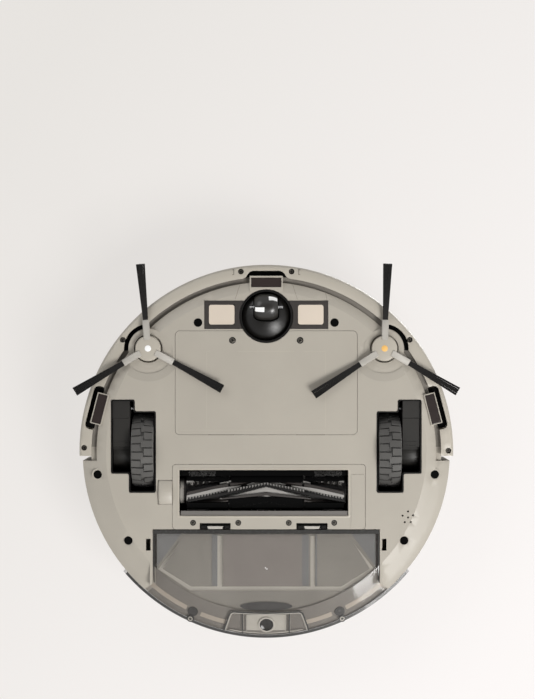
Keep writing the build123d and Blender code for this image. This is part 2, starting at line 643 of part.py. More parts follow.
# raised ribs on the bin's floor, and the chamber of the release button with its round spring cup
with BuildPart() as bin_ribs:
    with BuildSketch(Plane.XY.offset(UNDER_Z + 1)):
        with BuildLine():
            Polyline((-72, 74), (-95.5, 103.5), (-67, 122.4), (67, 122.4), (95.5, 103.5), (72, 74), close=True)
        make_face()
        with BuildLine():
            Polyline((-70.5, 70), (-91.2, 103.0), (-66, 118.6), (66, 118.6), (91.2, 103.0), (70.5, 70), close=True)
        make_face(mode=Mode.SUBTRACT)
        for x in (-41.0, 41.0):
            with Locations((x, 97)):
                Rectangle(4.2, 46)
    extrude(amount=5)
    with BuildSketch(Plane.XY.offset(UNDER_Z + 1)):
        with BuildLine():
            Polyline((-31, 140.4), (31, 140.4), (37.2, 160.3), (-37.2, 160.3), close=True)
        make_face()
        with BuildLine():
            Polyline((-29.8, 141.8), (29.8, 141.8), (35.4, 158.8), (-35.4, 158.8), close=True)
        make_face(mode=Mode.SUBTRACT)
        for x in (-20.6, 20.6):
            with Locations((x, 150.3)):
                Rectangle(1.4, 18)
        with Locations((0, 151.0)):
            Circle(7.3)
            Circle(5.9, mode=Mode.SUBTRACT)
    extrude(amount=13)
    add(bin_body, mode=Mode.INTERSECT)

with BuildPart() as dustbin:
    add(bin_blank.part)
    add(dust_room.part, mode=Mode.SUBTRACT)
    add(bin_ribs.part)
    # inlet from the brush housing, window for the filter, pocket of the release button
    block(-45, 45, 60, 72, 26, 44, mode=Mode.SUBTRACT)
    block(-58, 58, 60, 72, 52, 66, mode=Mode.SUBTRACT)
    block(-33, 33, 144, 162.9, 50, BIN_TOP_Z)
    block(-31, 31, 146, 170, 53.6, 90, mode=Mode.SUBTRACT)
save(dustbin, "dustbin")

with BuildPart() as dustbin_lid:
    with BuildSketch(Plane.XY.offset(BIN_TOP_Z)):
        add(bin_outline(-0.4))
        Circle(BODY_R - 2.4, mode=Mode.INTERSECT)
    extrude(amount=2.0)
    block(-31.2, 31.2, 145.6, 170, 60, 90, mode=Mode.SUBTRACT)
save(dustbin_lid, "dustbin_lid")

with BuildPart() as bin_filter:
    block(-60, 60, 70.7, 80.0, 50, 68.5)
    for x in range(-54, 55, 6):
        block(x - 1.2, x + 1.2, 72.7, 85, 52, 66.5, mode=Mode.SUBTRACT)
save(bin_filter, "bin_filter")

with BuildPart() as bin_release:
    block(-30, 30, 147, 161.4, 58, 71)
    block(-28, 28, 153, 161.4, 71, 76)
    fillet(bin_release.faces().sort_by(Axis.Z)[-1].edges(), 1.5)
save(bin_release, "bin_release")

with BuildPart() as suction_fan:
    post(-30, 38, 27, 53, 66)
    post(-30, 38, 16, 66, 74)
    block(-44, -16, 50, 67.4, 54, 66)
save(suction_fan, "suction_fan")

# ---- scanner ------------------------------------------------------------------------------
with BuildPart() as lidar_cover:
    post(0, SCANNER_Y, 47.4, ROOF_Z, 83)
    post(0, SCANNER_Y, 38.0, 70, 90, mode=Mode.SUBTRACT)
    post(0, SCANNER_Y, 47.4, 92, TURRET_Z)
    fillet(lidar_cover.faces().sort_by(Axis.Z)[-1].edges(), 2.5)
    for angle in (30, 150, 270):
        x = 44 * cos(radians(angle))
        y = SCANNER_Y + 44 * sin(radians(angle))
        post(x, y, 2.2, 82, 93)
save(lidar_cover, "lidar_cover")

with BuildPart() as lidar_rotor:
    post(0, SCANNER_Y, 36, 80, 91)
    post(0, SCANNER_Y, 12, 75, 80)
    block(-12, 12, SCANNER_Y - 40, SCANNER_Y - 30, 84, 90, mode=Mode.SUBTRACT)
save(lidar_rotor, "lidar_rotor")

with BuildPart() as lidar_motor:
    post(56, -4, 9, 58, 73)
    post(56, -4, 3, 73, 75)
save(lidar_motor, "lidar_motor")

# ---- buttons on top -----------------------------------------------------------------------
for x, name in ((-14.0, "home_button"), (14.0, "power_button")):
    with BuildPart() as button:
        post(x, -92, 8.9, 76.6, 80.4)
        fillet(button.faces().sort_by(Axis.Z)[-1].edges(), 0.8)
    save(button, name)
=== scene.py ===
import json
import math
import random

import bmesh
import bpy
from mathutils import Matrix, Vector


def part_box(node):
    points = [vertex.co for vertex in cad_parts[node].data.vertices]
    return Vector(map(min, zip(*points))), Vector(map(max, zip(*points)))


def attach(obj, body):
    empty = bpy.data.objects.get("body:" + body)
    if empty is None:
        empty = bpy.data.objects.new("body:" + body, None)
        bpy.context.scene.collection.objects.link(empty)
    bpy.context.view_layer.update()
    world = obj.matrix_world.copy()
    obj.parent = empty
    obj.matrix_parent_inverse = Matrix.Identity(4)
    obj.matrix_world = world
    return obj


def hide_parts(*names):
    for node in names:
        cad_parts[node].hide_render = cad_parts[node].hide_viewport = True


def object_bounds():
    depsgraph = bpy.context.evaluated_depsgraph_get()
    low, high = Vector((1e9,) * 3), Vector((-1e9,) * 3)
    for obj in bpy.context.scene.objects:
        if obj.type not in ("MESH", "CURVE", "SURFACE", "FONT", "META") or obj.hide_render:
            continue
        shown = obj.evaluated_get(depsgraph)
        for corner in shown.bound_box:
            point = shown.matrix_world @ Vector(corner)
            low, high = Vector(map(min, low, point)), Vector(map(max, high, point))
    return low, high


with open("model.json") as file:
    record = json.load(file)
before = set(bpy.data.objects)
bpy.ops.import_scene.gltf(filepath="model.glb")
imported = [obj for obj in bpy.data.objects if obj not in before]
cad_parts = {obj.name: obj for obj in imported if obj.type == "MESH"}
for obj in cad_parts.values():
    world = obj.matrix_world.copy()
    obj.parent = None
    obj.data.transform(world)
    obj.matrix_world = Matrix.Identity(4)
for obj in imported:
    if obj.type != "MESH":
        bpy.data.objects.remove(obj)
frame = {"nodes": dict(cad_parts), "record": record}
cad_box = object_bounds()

MM = 0.001
NODES = frame["nodes"]
scene = bpy.context.scene

# ---- places read from the frame, in metres ---------------------------------------------------
TOP = cad_box[1].z


def middle(node):
    """The centre of a CAD node's box."""
    low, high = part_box(node)
    return (low + high) / 2


# ---- camera: under the robot, looking straight up at its underside ---------------------------
CAMERA_DISTANCE = 1.5
CAMERA_X, CAMERA_Y = 0.0011, -0.0902
VIEW_HEIGHT = 0.615         # what the frame's long side spans at the underside
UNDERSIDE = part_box("base_shell")[0].z
camera_data = bpy.data.cameras.new("camera")
camera = bpy.data.objects.new("camera", camera_data)
scene.collection.objects.link(camera)
scene.camera = camera
camera_data.lens = camera_data.sensor_width * CAMERA_DISTANCE / VIEW_HEIGHT
camera.location = (CAMERA_X, CAMERA_Y, UNDERSIDE - CAMERA_DISTANCE)
camera.rotation_euler = (math.pi, 0, 0)
camera_data.clip_end = 20


# ---- stage -----------------------------------------------------------------------------------
PAPER_HALF = 4.0                        # half the side of each sheet
# the paper's colour runs from PAPER_DARK to PAPER_BRIGHT as painted light, brighter towards the lamp;
# PAPER_GLOW is a painted glow
PAPER_DARK = (0.80, 0.775, 0.745)       # far corner of the paper
PAPER_BRIGHT = (0.915, 0.885, 0.872)    # corner nearest the lamp
PAPER_GLOW = 0.80                       # share of its brightness that shadows don't reach


def dress(tree, made, **inputs):
    """Sets or links a node's inputs; From_Min stands for the input called From Min."""
    for name, value in inputs.items():
        socket = made.inputs[name.replace("_", " ")]
        if isinstance(value, bpy.types.NodeSocket):
            tree.links.new(value, socket)
        else:
            socket.default_value = value
    return made


def new_node(tree, kind, **inputs):
    """A new shader node with its inputs set or linked."""
    return dress(tree, tree.nodes.new("ShaderNode" + kind), **inputs)


def stage_material(name):
    """A pale matte paper that shows only from its front, so that it never hides the robot. Its colour brightens
    towards the lamp as painted light, and most of its brightness is a painted glow.
    """
    material = bpy.data.materials.new(name)
    material.use_nodes = True
    tree = material.node_tree
    tree.nodes.clear()
    side = new_node(tree, "NewGeometry")
    slope = new_node(tree, "VectorMath")
    slope.operation = "DOT_PRODUCT"
    slope.inputs[1].default_value = (1.0, 0.7, 0)
    tree.links.new(side.outputs["Position"], slope.inputs[0])
    spread = new_node(tree, "MapRange", Value=slope.outputs["Value"], From_Min=-0.45, From_Max=0.35)
    tint = new_node(tree, "Mix")
    tint.data_type = "RGBA"
    dress(tree, tint, A=(*PAPER_DARK, 1), B=(*PAPER_BRIGHT, 1), Factor=spread.outputs["Result"])
    glow = new_node(tree, "Emission", Color=tint.outputs["Result"])
    paper = new_node(tree, "BsdfDiffuse", Color=tint.outputs["Result"])
    clear = new_node(tree, "BsdfTransparent")
    lit = new_node(tree, "MixShader", Fac=PAPER_GLOW)
    tree.links.new(paper.outputs["BSDF"], lit.inputs[1])
    tree.links.new(glow.outputs["Emission"], lit.inputs[2])
    mix = new_node(tree, "MixShader", Fac=side.outputs["Backfacing"])
    tree.links.new(lit.outputs["Shader"], mix.inputs[1])
    tree.links.new(clear.outputs["BSDF"], mix.inputs[2])
    new_node(tree, "OutputMaterial", Surface=mix.outputs["Shader"])
    return material


def sheet_of_paper(name, z, faces_up):
    """A large square of backdrop at height z, facing up or down."""
    square = [(x * PAPER_HALF, y * PAPER_HALF, z) for x, y in ((-1, -1), (1, -1), (1, 1), (-1, 1))]
    mesh = bpy.data.meshes.new(name)
    mesh.from_pydata(square, [], [(0, 1, 2, 3) if faces_up else (3, 2, 1, 0)])
    paper = bpy.data.objects.new(name, mesh)
    scene.collection.objects.link(paper)
    mesh.materials.append(stage_material(name))
    paper.visible_shadow = False
    paper.visible_diffuse = False
    paper.visible_glossy = False
    paper.visible_transmission = False


sheet_of_paper("floor", -0.0005, True)
sheet_of_paper("backdrop", TOP + 0.002, False)


def area_light(name, place, target, size, power, colour=(1, 1, 1)):
    """A soft square lamp at place, turned to face target."""
    data = bpy.data.lights.new(name, "AREA")
    data.size = size
    data.energy = power
    data.color = colour
    lamp = bpy.data.objects.new(name, data)
    scene.collection.objects.link(lamp)
    lamp.location = place
    lamp.rotation_euler = (Vector(target) - Vector(place)).to_track_quat("-Z", "Y").to_euler()


area_light("key_below", (0.84, 0.86, -1.35), (0.05, 0.05, 0), 0.74, 30, (1.0, 0.99, 0.975))
area_light("fill_below", (-1.2, -1.2, -1.5), (0, 0, 0), 1.2, 9)
area_light("key_above", (1.3, -1.4, 2.2), (0, 0, 0), 1.2, 42, (1.0, 0.985, 0.965))
area_light("fill_above", (-1.6, 0.9, 1.6), (0, 0, 0), 1.6, 18)


def studio_light():
    """An even pale room, dark only straight below, behind the camera."""
    world = bpy.data.worlds.new("studio")
    scene.world = world
    world.use_nodes = True
    tree = world.node_tree
    way = new_node(tree, "TexCoord")
    height = new_node(tree, "SeparateXYZ", Vector=way.outputs["Generated"])
    fade = new_node(tree, "MapRange", Value=height.outputs["Z"], From_Min=-0.97, From_Max=-0.72,
                    To_Min=0.10, To_Max=0.66)
    fade.interpolation_type = "SMOOTHSTEP"
    dress(tree, tree.nodes["Background"], Strength=fade.outputs["Result"], Color=(0.965, 0.965, 0.97, 1))


studio_light()
scene.view_settings.view_transform = "Standard"


# ---- materials -------------------------------------------------------------------------------
def new_material(name):
    """A material with its Principled shader and a point in the object's own frame."""
    material = bpy.data.materials.new(name)
    material.use_nodes = True
    tree = material.node_tree
    return material, tree, tree.nodes["Principled BSDF"], new_node(tree, "TexCoord").outputs["Object"]


def noise(tree, where, scale, detail=3.0, roughness=0.55):
    """The value of a noise texture at a place."""
    made = new_node(tree, "TexNoise", Vector=where, Scale=scale, Detail=detail, Roughness=roughness)
    return made.outputs["Fac"]


def ramp(tree, value, low, high, start=0.3, end=0.7):
    """Colour from low to high as the value goes from start to end."""
    made = new_node(tree, "ValToRGB", Fac=value)
    first, last = made.color_ramp.elements[0], made.color_ramp.elements[1]
    first.position, last.position = start, end
    first.color, last.color = (*low, 1), (*high, 1)
    return made.outputs["Color"]


def to_range(tree, value, low, high):
    """A value from 0 to 1 stretched to run from low to high."""
    return new_node(tree, "MapRange", Value=value, To_Min=low, To_Max=high).outputs["Result"]


def bump(tree, shader, height, strength, distance):
    """Small relief on a shader's normal."""
    relief = new_node(tree, "Bump", Height=height, Strength=strength, Distance=distance)
    tree.links.new(relief.outputs["Normal"], shader.inputs["Normal"])


def shade(colour, factor):
    """The colour made darker or lighter by a factor."""
    return tuple(min(1.0, c * factor) for c in colour)


def moulded(name, colour, rough=0.45, grain=2600, depth=0.00003, spread=0.05, sheen=0.0, alpha=1.0, coat=0.0,
            gloss=0.5):
    """Moulded plastic or rubber: fine spark texture, faint cloudiness in colour and gloss."""
    material, tree, shader, where = new_material(name)
    cloud = noise(tree, where, 22, 4)
    fine = noise(tree, where, grain, 2, 0.6)
    tint = ramp(tree, cloud, shade(colour, 1 - spread), shade(colour, 1 + spread))
    dress(tree, shader, Base_Color=tint, Roughness=to_range(tree, fine, rough - 0.06, rough + 0.08),
          Sheen_Weight=sheen, Coat_Weight=coat, Specular_IOR_Level=gloss, Alpha=alpha)
    bump(tree, shader, fine, 0.35, depth)
    return material


def metal(name, colour, rough=0.25, lines=900):
    """Plated or ground metal with fine parallel lines."""
    material, tree, shader, where = new_material(name)
    stretch = new_node(tree, "Mapping", Vector=where, Scale=(1, 12, 1))
    streak = noise(tree, stretch.outputs["Vector"], lines, 3)
    tint = ramp(tree, streak, shade(colour, 0.94), shade(colour, 1.04))
    dress(tree, shader, Base_Color=tint, Roughness=to_range(tree, streak, rough - 0.05, rough + 0.1),
          Metallic=1.0)
    bump(tree, shader, streak, 0.15, 0.00002)
    return material


SHELL = moulded("shell", (0.375, 0.345, 0.295), 0.42, spread=0.03)
SHELL_LIGHT = moulded("shell_light", (0.405, 0.372, 0.315), 0.4, spread=0.03)
# painted shade: the groove's floor is about half as bright as the shell, standing for the shade in the groove
GROOVE_SHADE = moulded("groove_painted_shade", (0.19, 0.172, 0.148), 0.5, spread=0.06)
# painted shade for the dish under each side brush
DISH_SHADE = moulded("dish_shade", (0.338, 0.312, 0.267), 0.42)
SCRAPER = moulded("scraper", (0.13, 0.12, 0.11), 0.5)
SEAM = moulded("seam", (0.16, 0.145, 0.12), 0.6, spread=0.06)
BLACK = moulded("black_plastic", (0.006, 0.0055, 0.005), 0.45, spread=0.25, gloss=0.2)
BLACK_SATIN = moulded("black_satin", (0.019, 0.0175, 0.0155), 0.42, grain=1800, spread=0.15, gloss=0.4)
# near-black painted shade, put in notches, screw wells, across the mouth of the brush housing and on the
# roller's flaps
SHADE_BLACK = moulded("painted_shade_black", (0.002, 0.002, 0.002), 0.8, spread=0.2, gloss=0.05)
GLOSS = moulded("gloss_black", (0.006, 0.0055, 0.005), 0.16, grain=900, depth=0.000005, spread=0.2, coat=0.4)
FORK = moulded("caster_fork", (0.006, 0.0052, 0.0045), 0.34, grain=700, spread=0.2, gloss=0.42)
GREY = moulded("grey_plastic", (0.034, 0.029, 0.026), 0.5, spread=0.12, gloss=0.35)
WINDOW = moulded("sensor_window", (0.022, 0.015, 0.0135), 0.3, grain=700, depth=0.00001, spread=0.25, coat=0.5)
TYRE = moulded("tyre", (0.068, 0.065, 0.060), 0.62, grain=1500, depth=0.00006, spread=0.18, sheen=0.2)
LIGHT_RUBBER = moulded("roller_rubber", (0.28, 0.268, 0.25), 0.55, grain=1500, depth=0.00004, spread=0.07,
                       sheen=0.2)
ARM_RUBBER = moulded("arm_rubber", (0.40, 0.378, 0.34), 0.5, grain=1800, depth=0.00003, spread=0.05, sheen=0.15)
CASTER_RUBBER = moulded("caster_rubber", (0.021, 0.0195, 0.0175), 0.33, grain=900, spread=0.2, coat=0.25)
BRISTLE = moulded("bristle", (0.006, 0.0052, 0.0047), 0.6, grain=1200, depth=0.00002, spread=0.3, gloss=0.25)
FELT = moulded("felt", (0.05, 0.048, 0.045), 0.9, grain=420, depth=0.0004, spread=0.4, sheen=0.3)
FILTER = moulded("filter", (0.74, 0.72, 0.66), 0.85, grain=900, depth=0.00008, spread=0.06)
BOARD = moulded("board", (0.02, 0.12, 0.06), 0.4, grain=500, spread=0.3)
BATTERY = moulded("battery", (0.05, 0.12, 0.32), 0.35, grain=300, spread=0.1)
WHITE = moulded("white_mark", (0.86, 0.86, 0.85), 0.35, grain=900, spread=0.03)
AMBER = moulded("amber_button", (0.80, 0.47, 0.14), 0.4, grain=900, spread=0.08)
PAD = moulded("contact_metal", (0.61, 0.53, 0.44), 0.38, grain=1300, depth=0.00001, spread=0.04, gloss=0.8)
STEEL = metal("steel", (0.78, 0.78, 0.78), 0.2)
SCREW = metal("screw", (0.34, 0.31, 0.27), 0.4, 1500)
DARK_SCREW = metal("dark_screw", (0.12, 0.11, 0.095), 0.5, 1500)
SMOKE = moulded("smoke", (0.085, 0.078, 0.072), 0.1, grain=500, depth=0.000008, spread=0.08, alpha=0.30,
                coat=0.3)
SMOKE_EDGE = moulded("smoke_edge", (0.040, 0.039, 0.037), 0.25, grain=500, depth=0.000008, spread=0.15,
                     coat=0.3)
TRAY = moulded("bin_tray", (0.60, 0.56, 0.49), 0.6, spread=0.07)
TRAY_PANEL = moulded("bin_panel", (0.58, 0.52, 0.47), 0.6, spread=0.07)
TRAY_COOL = moulded("bin_corner", (0.46, 0.46, 0.45), 0.5, spread=0.08)
TRAY_FLANK = moulded("bin_flank", (0.44, 0.40, 0.35), 0.5, spread=0.1)
TRAY_RIB = moulded("bin_rib", (0.52, 0.45, 0.37), 0.55, spread=0.05)
# pale plastic of the release ring and boss rings, and painted highlight on the bevels inside the release's
# outlines
PALE_AND_HIGHLIGHT = moulded("release_rim", (0.36, 0.335, 0.295), 0.4, spread=0.05)
LENS = moulded("bin_lens", (0.16, 0.16, 0.16), 0.3, spread=0.2, coat=0.4)

CAD_MATERIALS = {
    "shell": SHELL, "shell_light": SHELL_LIGHT, "black_plastic": BLACK, "gloss_black": GLOSS,
    "grey_plastic": GREY, "sensor_window": WINDOW, "contact_metal": PAD, "steel": STEEL, "screw": SCREW,
    "tyre": TYRE, "roller_rubber": LIGHT_RUBBER, "arm_rubber": ARM_RUBBER, "bristle": BRISTLE,
    "smoke": SMOKE, "filter": FILTER, "board": BOARD, "battery": BATTERY,
}
for part in frame["record"]["subparts"]:
    mesh = NODES[part["node"]].data
    mesh.materials.clear()
    mesh.materials.append(CAD_MATERIALS[part["material_slot"]])
for hand in ("left", "right"):
    arm_mesh = NODES[f"{hand}_wheel_arm"].data
    arm_mesh.materials.clear()
    arm_mesh.materials.append(BLACK_SATIN)


# ---- soft edges on the moulded CAD parts -----------------------------------------------------
SOFT_EDGES = {
    "base_shell": 0.35, "top_shell": 0.4, "top_plate": 0.2, "bumper": 0.45, "battery_cover": 0.3,
    "brush_guard": 0.3, "contact_bezels": 0.4, "contact_pads": 0.35, "caster_cup": 0.4,
    "cliff_window_front": 0.4, "cliff_window_left": 0.4, "cliff_window_right": 0.4, "left_wheel_pod": 0.3,
    "right_wheel_pod": 0.3, "left_wheel_arm": 0.5, "right_wheel_arm": 0.5, "roller_bearing": 0.3,
    "lidar_cover": 0.4, "lidar_rotor": 0.4, "bin_release": 0.4, "power_button": 0.2, "home_button": 0.2,
    "dustbin": 0.4, "dustbin_lid": 0.3,
}
CREASE = 38                             # edges sharper than this are rounded, in degrees
FLANK_CREASE = 17                       # also rounds the crease between underside and flank
FLANKED = ("dustbin", "base_shell")


def soften(node, width, angle):
    """Rounds a CAD node's sharp edges with modifiers; its mesh stays as packed."""
    weld = NODES[node].modifiers.new("weld", "WELD")
    weld.merge_threshold = 0.000002
    edge = NODES[node].modifiers.new("edge", "BEVEL")
    edge.width = width
    edge.segments = 2
    edge.limit_method = "ANGLE"
    edge.angle_limit = math.radians(angle)
    edge.use_clamp_overlap = True
    edge.harden_normals = True


for node, width in SOFT_EDGES.items():
    soften(node, width * MM, FLANK_CREASE if node in FLANKED else CREASE)


# ---- mesh building ---------------------------------------------------------------------------
UP = (0, 0, 1)
ACROSS = (1, 0, 0)


def point(x, y, z=0.0):
    """A point given in millimetres."""
    return Vector((x * MM, y * MM, z * MM))


def in_mm(pairs):
    """Pairs of millimetres turned into metres."""
    return [(a * MM, b * MM) for a, b in pairs]


def corners(x0, y0, x1, y1):
    """The four corners of a rectangle in plan."""
    return [(x0, y0), (x1, y0), (x1, y1), (x0, y1)]


def piece(name, bm, material, body, replaces=(), angle=35):
    """Turns a bmesh into a shown piece that rides on a body."""
    bmesh.ops.recalc_face_normals(bm, faces=bm.faces)
    mesh = bpy.data.meshes.new(name)
    bm.to_mesh(mesh)
    bm.free()
    for polygon in mesh.polygons:
        polygon.use_smooth = True
    mesh.set_sharp_from_angle(angle=math.radians(angle))
    made = bpy.data.objects.new(name, mesh)
    scene.collection.objects.link(made)
    mesh.materials.append(material)
    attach(made, body)
    if replaces:
        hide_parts(*replaces)


def add_loops(bm, rings, caps=True):
    """Skins a list of rings of points, each with the same number, into a tube."""
    rows = [[bm.verts.new(p) for p in ring] for ring in rings]
    count = len(rows[0])
    for a, b in zip(rows, rows[1:]):
        for i in range(count):
            j = (i + 1) % count
            bm.faces.new((a[i], a[j], b[j], b[i]))
    if caps:
        bm.faces.new(rows[0][::-1])
        bm.faces.new(rows[-1])
    return rows


def turned(bm, profile, centre, axis, steps=64, caps=True):
    """A solid of revolution: profile is (radius, distance along the axis) from end to end."""
    axis = Vector(axis).normalized()
    side = axis.orthogonal().normalized()
    other = axis.cross(side)
    rings = []
    for radius, along in profile:
        reach = max(radius, 1e-6)
        ring = []
        for i in range(steps):
            turn = 2 * math.pi * i / steps
            ring.append(centre + axis * along + (side * math.cos(turn) + other * math.sin(turn)) * reach)
        rings.append(ring)
    return add_loops(bm, rings, caps=caps)


def prism(bm, outline, z0, z1, bevel=0.0):
    """An upright prism with a chamfered rim at its lower end."""
    points = [Vector((x, y, 0)) for x, y in outline]
    centre = sum(points, Vector()) / len(points)
    rings = []
    if bevel:
        inner = [p + (centre - p).normalized() * bevel * 1.2 for p in points]
        rings.append([p + Vector((0, 0, z0)) for p in inner])
    rings.append([p + Vector((0, 0, z0 + bevel)) for p in points])
    rings.append([p + Vector((0, 0, z1)) for p in points])
    add_loops(bm, rings)


def block(bm, x0, y0, x1, y1, z0, z1, bevel=0.0):
    """A block between two corners, in millimetres, with a chamfered lower rim."""
    prism(bm, in_mm(corners(x0, y0, x1, y1)), z0 * MM, z1 * MM, bevel * MM)


FLAT_R = 141.0 * MM
FLANK_RISE = 0.375          # how fast the flank climbs outside the flat underside


def under_z(x, y):
    """Height of the robot's underside at a point of the plan."""
    return UNDERSIDE + max(0.0, math.hypot(x, y) - FLAT_R) * FLANK_RISE


def on_under(x, y, above=0.0):
    """A point of the underside, given in millimetres, or one that lies above it."""
    place = point(x, y)
    place.z = under_z(abs(x) * MM, y * MM) + above * MM
    return place


def arc(radius, start, end, step=2.0):
    """Points of a circle about the body axis, in millimetres; angles in degrees from +X to +Y."""
    count = max(2, int(abs(end - start) * radius * math.pi / 180 / step))
    angles = [math.radians(start + (end - start) * i / count) for i in range(count + 1)]
    return [(radius * math.cos(a), radius * math.sin(a)) for a in angles]


def resampled(path, step=2.0):
    """The same path in millimetres with a point at least every step."""
    points = [path[0]]
    for a, b in zip(path, path[1:]):
        parts = max(1, int(math.dist(a, b) / step))
        for i in range(1, parts + 1):
            points.append((a[0] + (b[0] - a[0]) * i / parts, a[1] + (b[1] - a[1]) * i / parts))
    return points


def ribbon(bm, path, width, lift, thick=0.3, level=None):
    """A thin strip along a path, in millimetres: lift below the underside, or at a level of its own."""
    points = resampled(path)
    rings = []
    for i, (x, y) in enumerate(points):
        before = points[max(i - 1, 0)]
        after = points[min(i + 1, len(points) - 1)]
        dx, dy = after[0] - before[0], after[1] - before[1]
        size = math.hypot(dx, dy) or 1.0
        nx, ny = -dy / size * width / 2, dx / size * width / 2
        ring = []
        for sx, sy in ((x - nx, y - ny), (x + nx, y + ny)):
            base = under_z(sx * MM, sy * MM) if level is None else level * MM
            ring.append(Vector((sx * MM, sy * MM, base - lift * MM)))
        up = Vector((0, 0, thick * MM))
        rings.append(ring + [ring[1] + up, ring[0] + up])
    add_loops(bm, rings)


def sector(bm, r0, r1, start, end, lift, thick=0.5):
    """A patch of the flank between two radii and two angles, parallel to the underside."""
    ribbon(bm, arc((r0 + r1) / 2, start, end), r1 - r0, lift, thick)


def tile(bm, outline, z, thick=0.5):
    """A flat tile with its face at height z; all in millimetres."""
    prism(bm, in_mm(outline), z * MM, (z + thick) * MM)


# ---- tyres: crowned drum with two staggered columns of tread blocks ---------------------------
TREAD_COUNT = 28
TREAD_DEPTH = 2.1 * MM
TREAD_GAP = 1.15 * MM
CROWN = 1.3 * MM
RIM_SEAT = 27.05            # radius of the bore that sits on the hub
SHOULDER = 29.0


def tyre(hand):
    """A drive tyre with interlocking tread blocks."""
    low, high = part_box(f"{hand}_tyre")
    centre = (low + high) / 2
    radius = (high.z - low.z) / 2
    half = (high.x - low.x) / 2
    floor_r = radius - TREAD_DEPTH
    sunk = 0.3 * MM
    bm = bmesh.new()

    def crown(x):
        return CROWN * (x / half) ** 2

    profile = [(RIM_SEAT * MM, -half + 1.5 * MM), (SHOULDER * MM, -half)]
    for i in range(9):
        x = (-1 + 2 * i / 8) * (half - 0.6 * MM)
        profile.append((floor_r - crown(x), x))
    profile += [(SHOULDER * MM, half), (RIM_SEAT * MM, half - 1.5 * MM)]
    turned(bm, profile, centre, ACROSS, steps=96)
    pitch = 2 * math.pi / TREAD_COUNT
    gap = TREAD_GAP / radius
    for column in (0, 1):
        for i in range(TREAD_COUNT):
            # every other block reaches over the middle, so that the two columns interlock
            reach = (1.5 if i % 2 else -1.1) * MM
            x0 = -half + 0.5 * MM if column == 0 else 0.45 * MM - reach
            x1 = reach - 0.45 * MM if column == 0 else half - 0.5 * MM
            start = (i + 0.5 * column) * pitch
            rings = []
            for up, inset in ((0.0, 0.0), (0.75, 0.0), (1.0, 0.22 * MM)):
                turns = [start + inset / radius + (pitch - gap - 2 * inset / radius) * k / 3 for k in range(4)]
                ring = [(x0 + inset, turn) for turn in turns] + [(x1 - inset, turn) for turn in turns[::-1]]
                points = []
                for x, turn in ring:
                    r = floor_r - sunk - crown(x) + (radius - floor_r + sunk) * up
                    points.append(centre + Vector((x, r * math.cos(turn), r * math.sin(turn))))
                rings.append(points)
            add_loops(bm, rings)
    piece(f"{hand}_tread_tyre", bm, TYRE, f"{hand}_wheel", [f"{hand}_tyre"], angle=28)


for hand in ("left", "right"):
    tyre(hand)


# ---- main roller: chevron blades, bristle rows, dark flaps -----------------------------------
ROLLER = middle("roller_core")
ROLLER_AXIS = Vector((0, ROLLER.y, ROLLER.z))
ROLLER_TIP = 19.0 * MM
ROLLER_HALF = 70.0 * MM
TWIST = math.radians(0.76) / MM
BLADE_GROUPS = 7
TUFTS_IN_ROW = 27
HAIRS_IN_TUFT = 26
# spans of a blade: x start, x end in millimetres, share of the thickness at either end
PALE_CHEVRON = ((-41, 0, 0.06, 1), (0, 39, 1, 0.06))
PALE_ENDS = ((-70, -48, 1, 1), (-48, -22, 1, 0.06), (-17, 0, 0.06, 0.7),
             (0, 17, 0.7, 0.06), (22, 48, 0.06, 1), (48, 68.5, 1, 1))
DARK_ROW = ((-69.5, -33.6, 1, 0.8), (-31.6, 0, 0.8, 0.8), (0, 31.6, 0.8, 0.8), (33.6, 68, 0.8, 1))
# flaps between the blades, near-black as painted shade: x from, x to in millimetres, turn from, turn to in
# degrees
FLAPS = ((-31.0, 32.5, -54, -29), (-33.0, 33.0, 13, 56), (-70.0, -33.5, 30, 56),
         (33.5, 68.5, 30, 56), (-70.0, -33.0, -62, -33), (34.5, 68.5, -62, -33))
TOOTH_ROW_TURN = -27        # the toothed row at the middle of the roller, in degrees
TOOTH_ROW_SLOPE = 0.60      # and how far it turns per millimetre towards the ends


def on_roller(x, turn, radius):
    """A point of a twisted blade, in metres: turn 0 faces the floor and grows towards the dustbin."""
    angle = turn + TWIST * abs(x)
    return Vector((x, ROLLER.y + radius * math.sin(angle), ROLLER.z - radius * math.cos(angle)))


def round_roller(x, degrees, radius):
    """A point beside the roller's axis, in millimetres and degrees, without the blades' twist."""
    turn = math.radians(degrees)
    reach = radius * MM
    return Vector((x * MM, ROLLER.y + reach * math.sin(turn), ROLLER.z - reach * math.cos(turn)))


def strand(bm, start, end, width, tip_width, sides=4):
    """A thin tapering hair."""
    way = (end - start).normalized()
    side = way.orthogonal().normalized()
    other = way.cross(side)
    turns = [2 * math.pi * k / sides for k in range(sides)]
    rings = []
    for place, w in ((start, width), (end, tip_width)):
        rings.append([place + (side * math.cos(t) + other * math.sin(t)) * w / 2 for t in turns])
    add_loops(bm, rings)


def tapered_blade(bm, turn, spans, full, root=12.6 * MM, tip=ROLLER_TIP - 0.7 * MM):
    """A soft blade in pieces; full is its greatest thickness."""
    count = 20
    for x_start, x_end, share_start, share_end in spans:
        rings = []
        for i in range(count + 1):
            t = i / count
            x = (x_start + (x_end - x_start) * t) * MM
            share = share_start + (share_end - share_start) * t
            thick = full * share ** 0.75
            rise = root + (tip - root) * (0.55 + 0.45 * share)
            section = ((root, -thick * 0.62), (rise, -thick * 0.5), (rise + 0.25 * MM, 0.0),
                       (rise, thick * 0.5), (root, thick * 0.62))
            rings.append([on_roller(x, turn + offset / radius, radius) for radius, offset in section])
        add_loops(bm, rings)


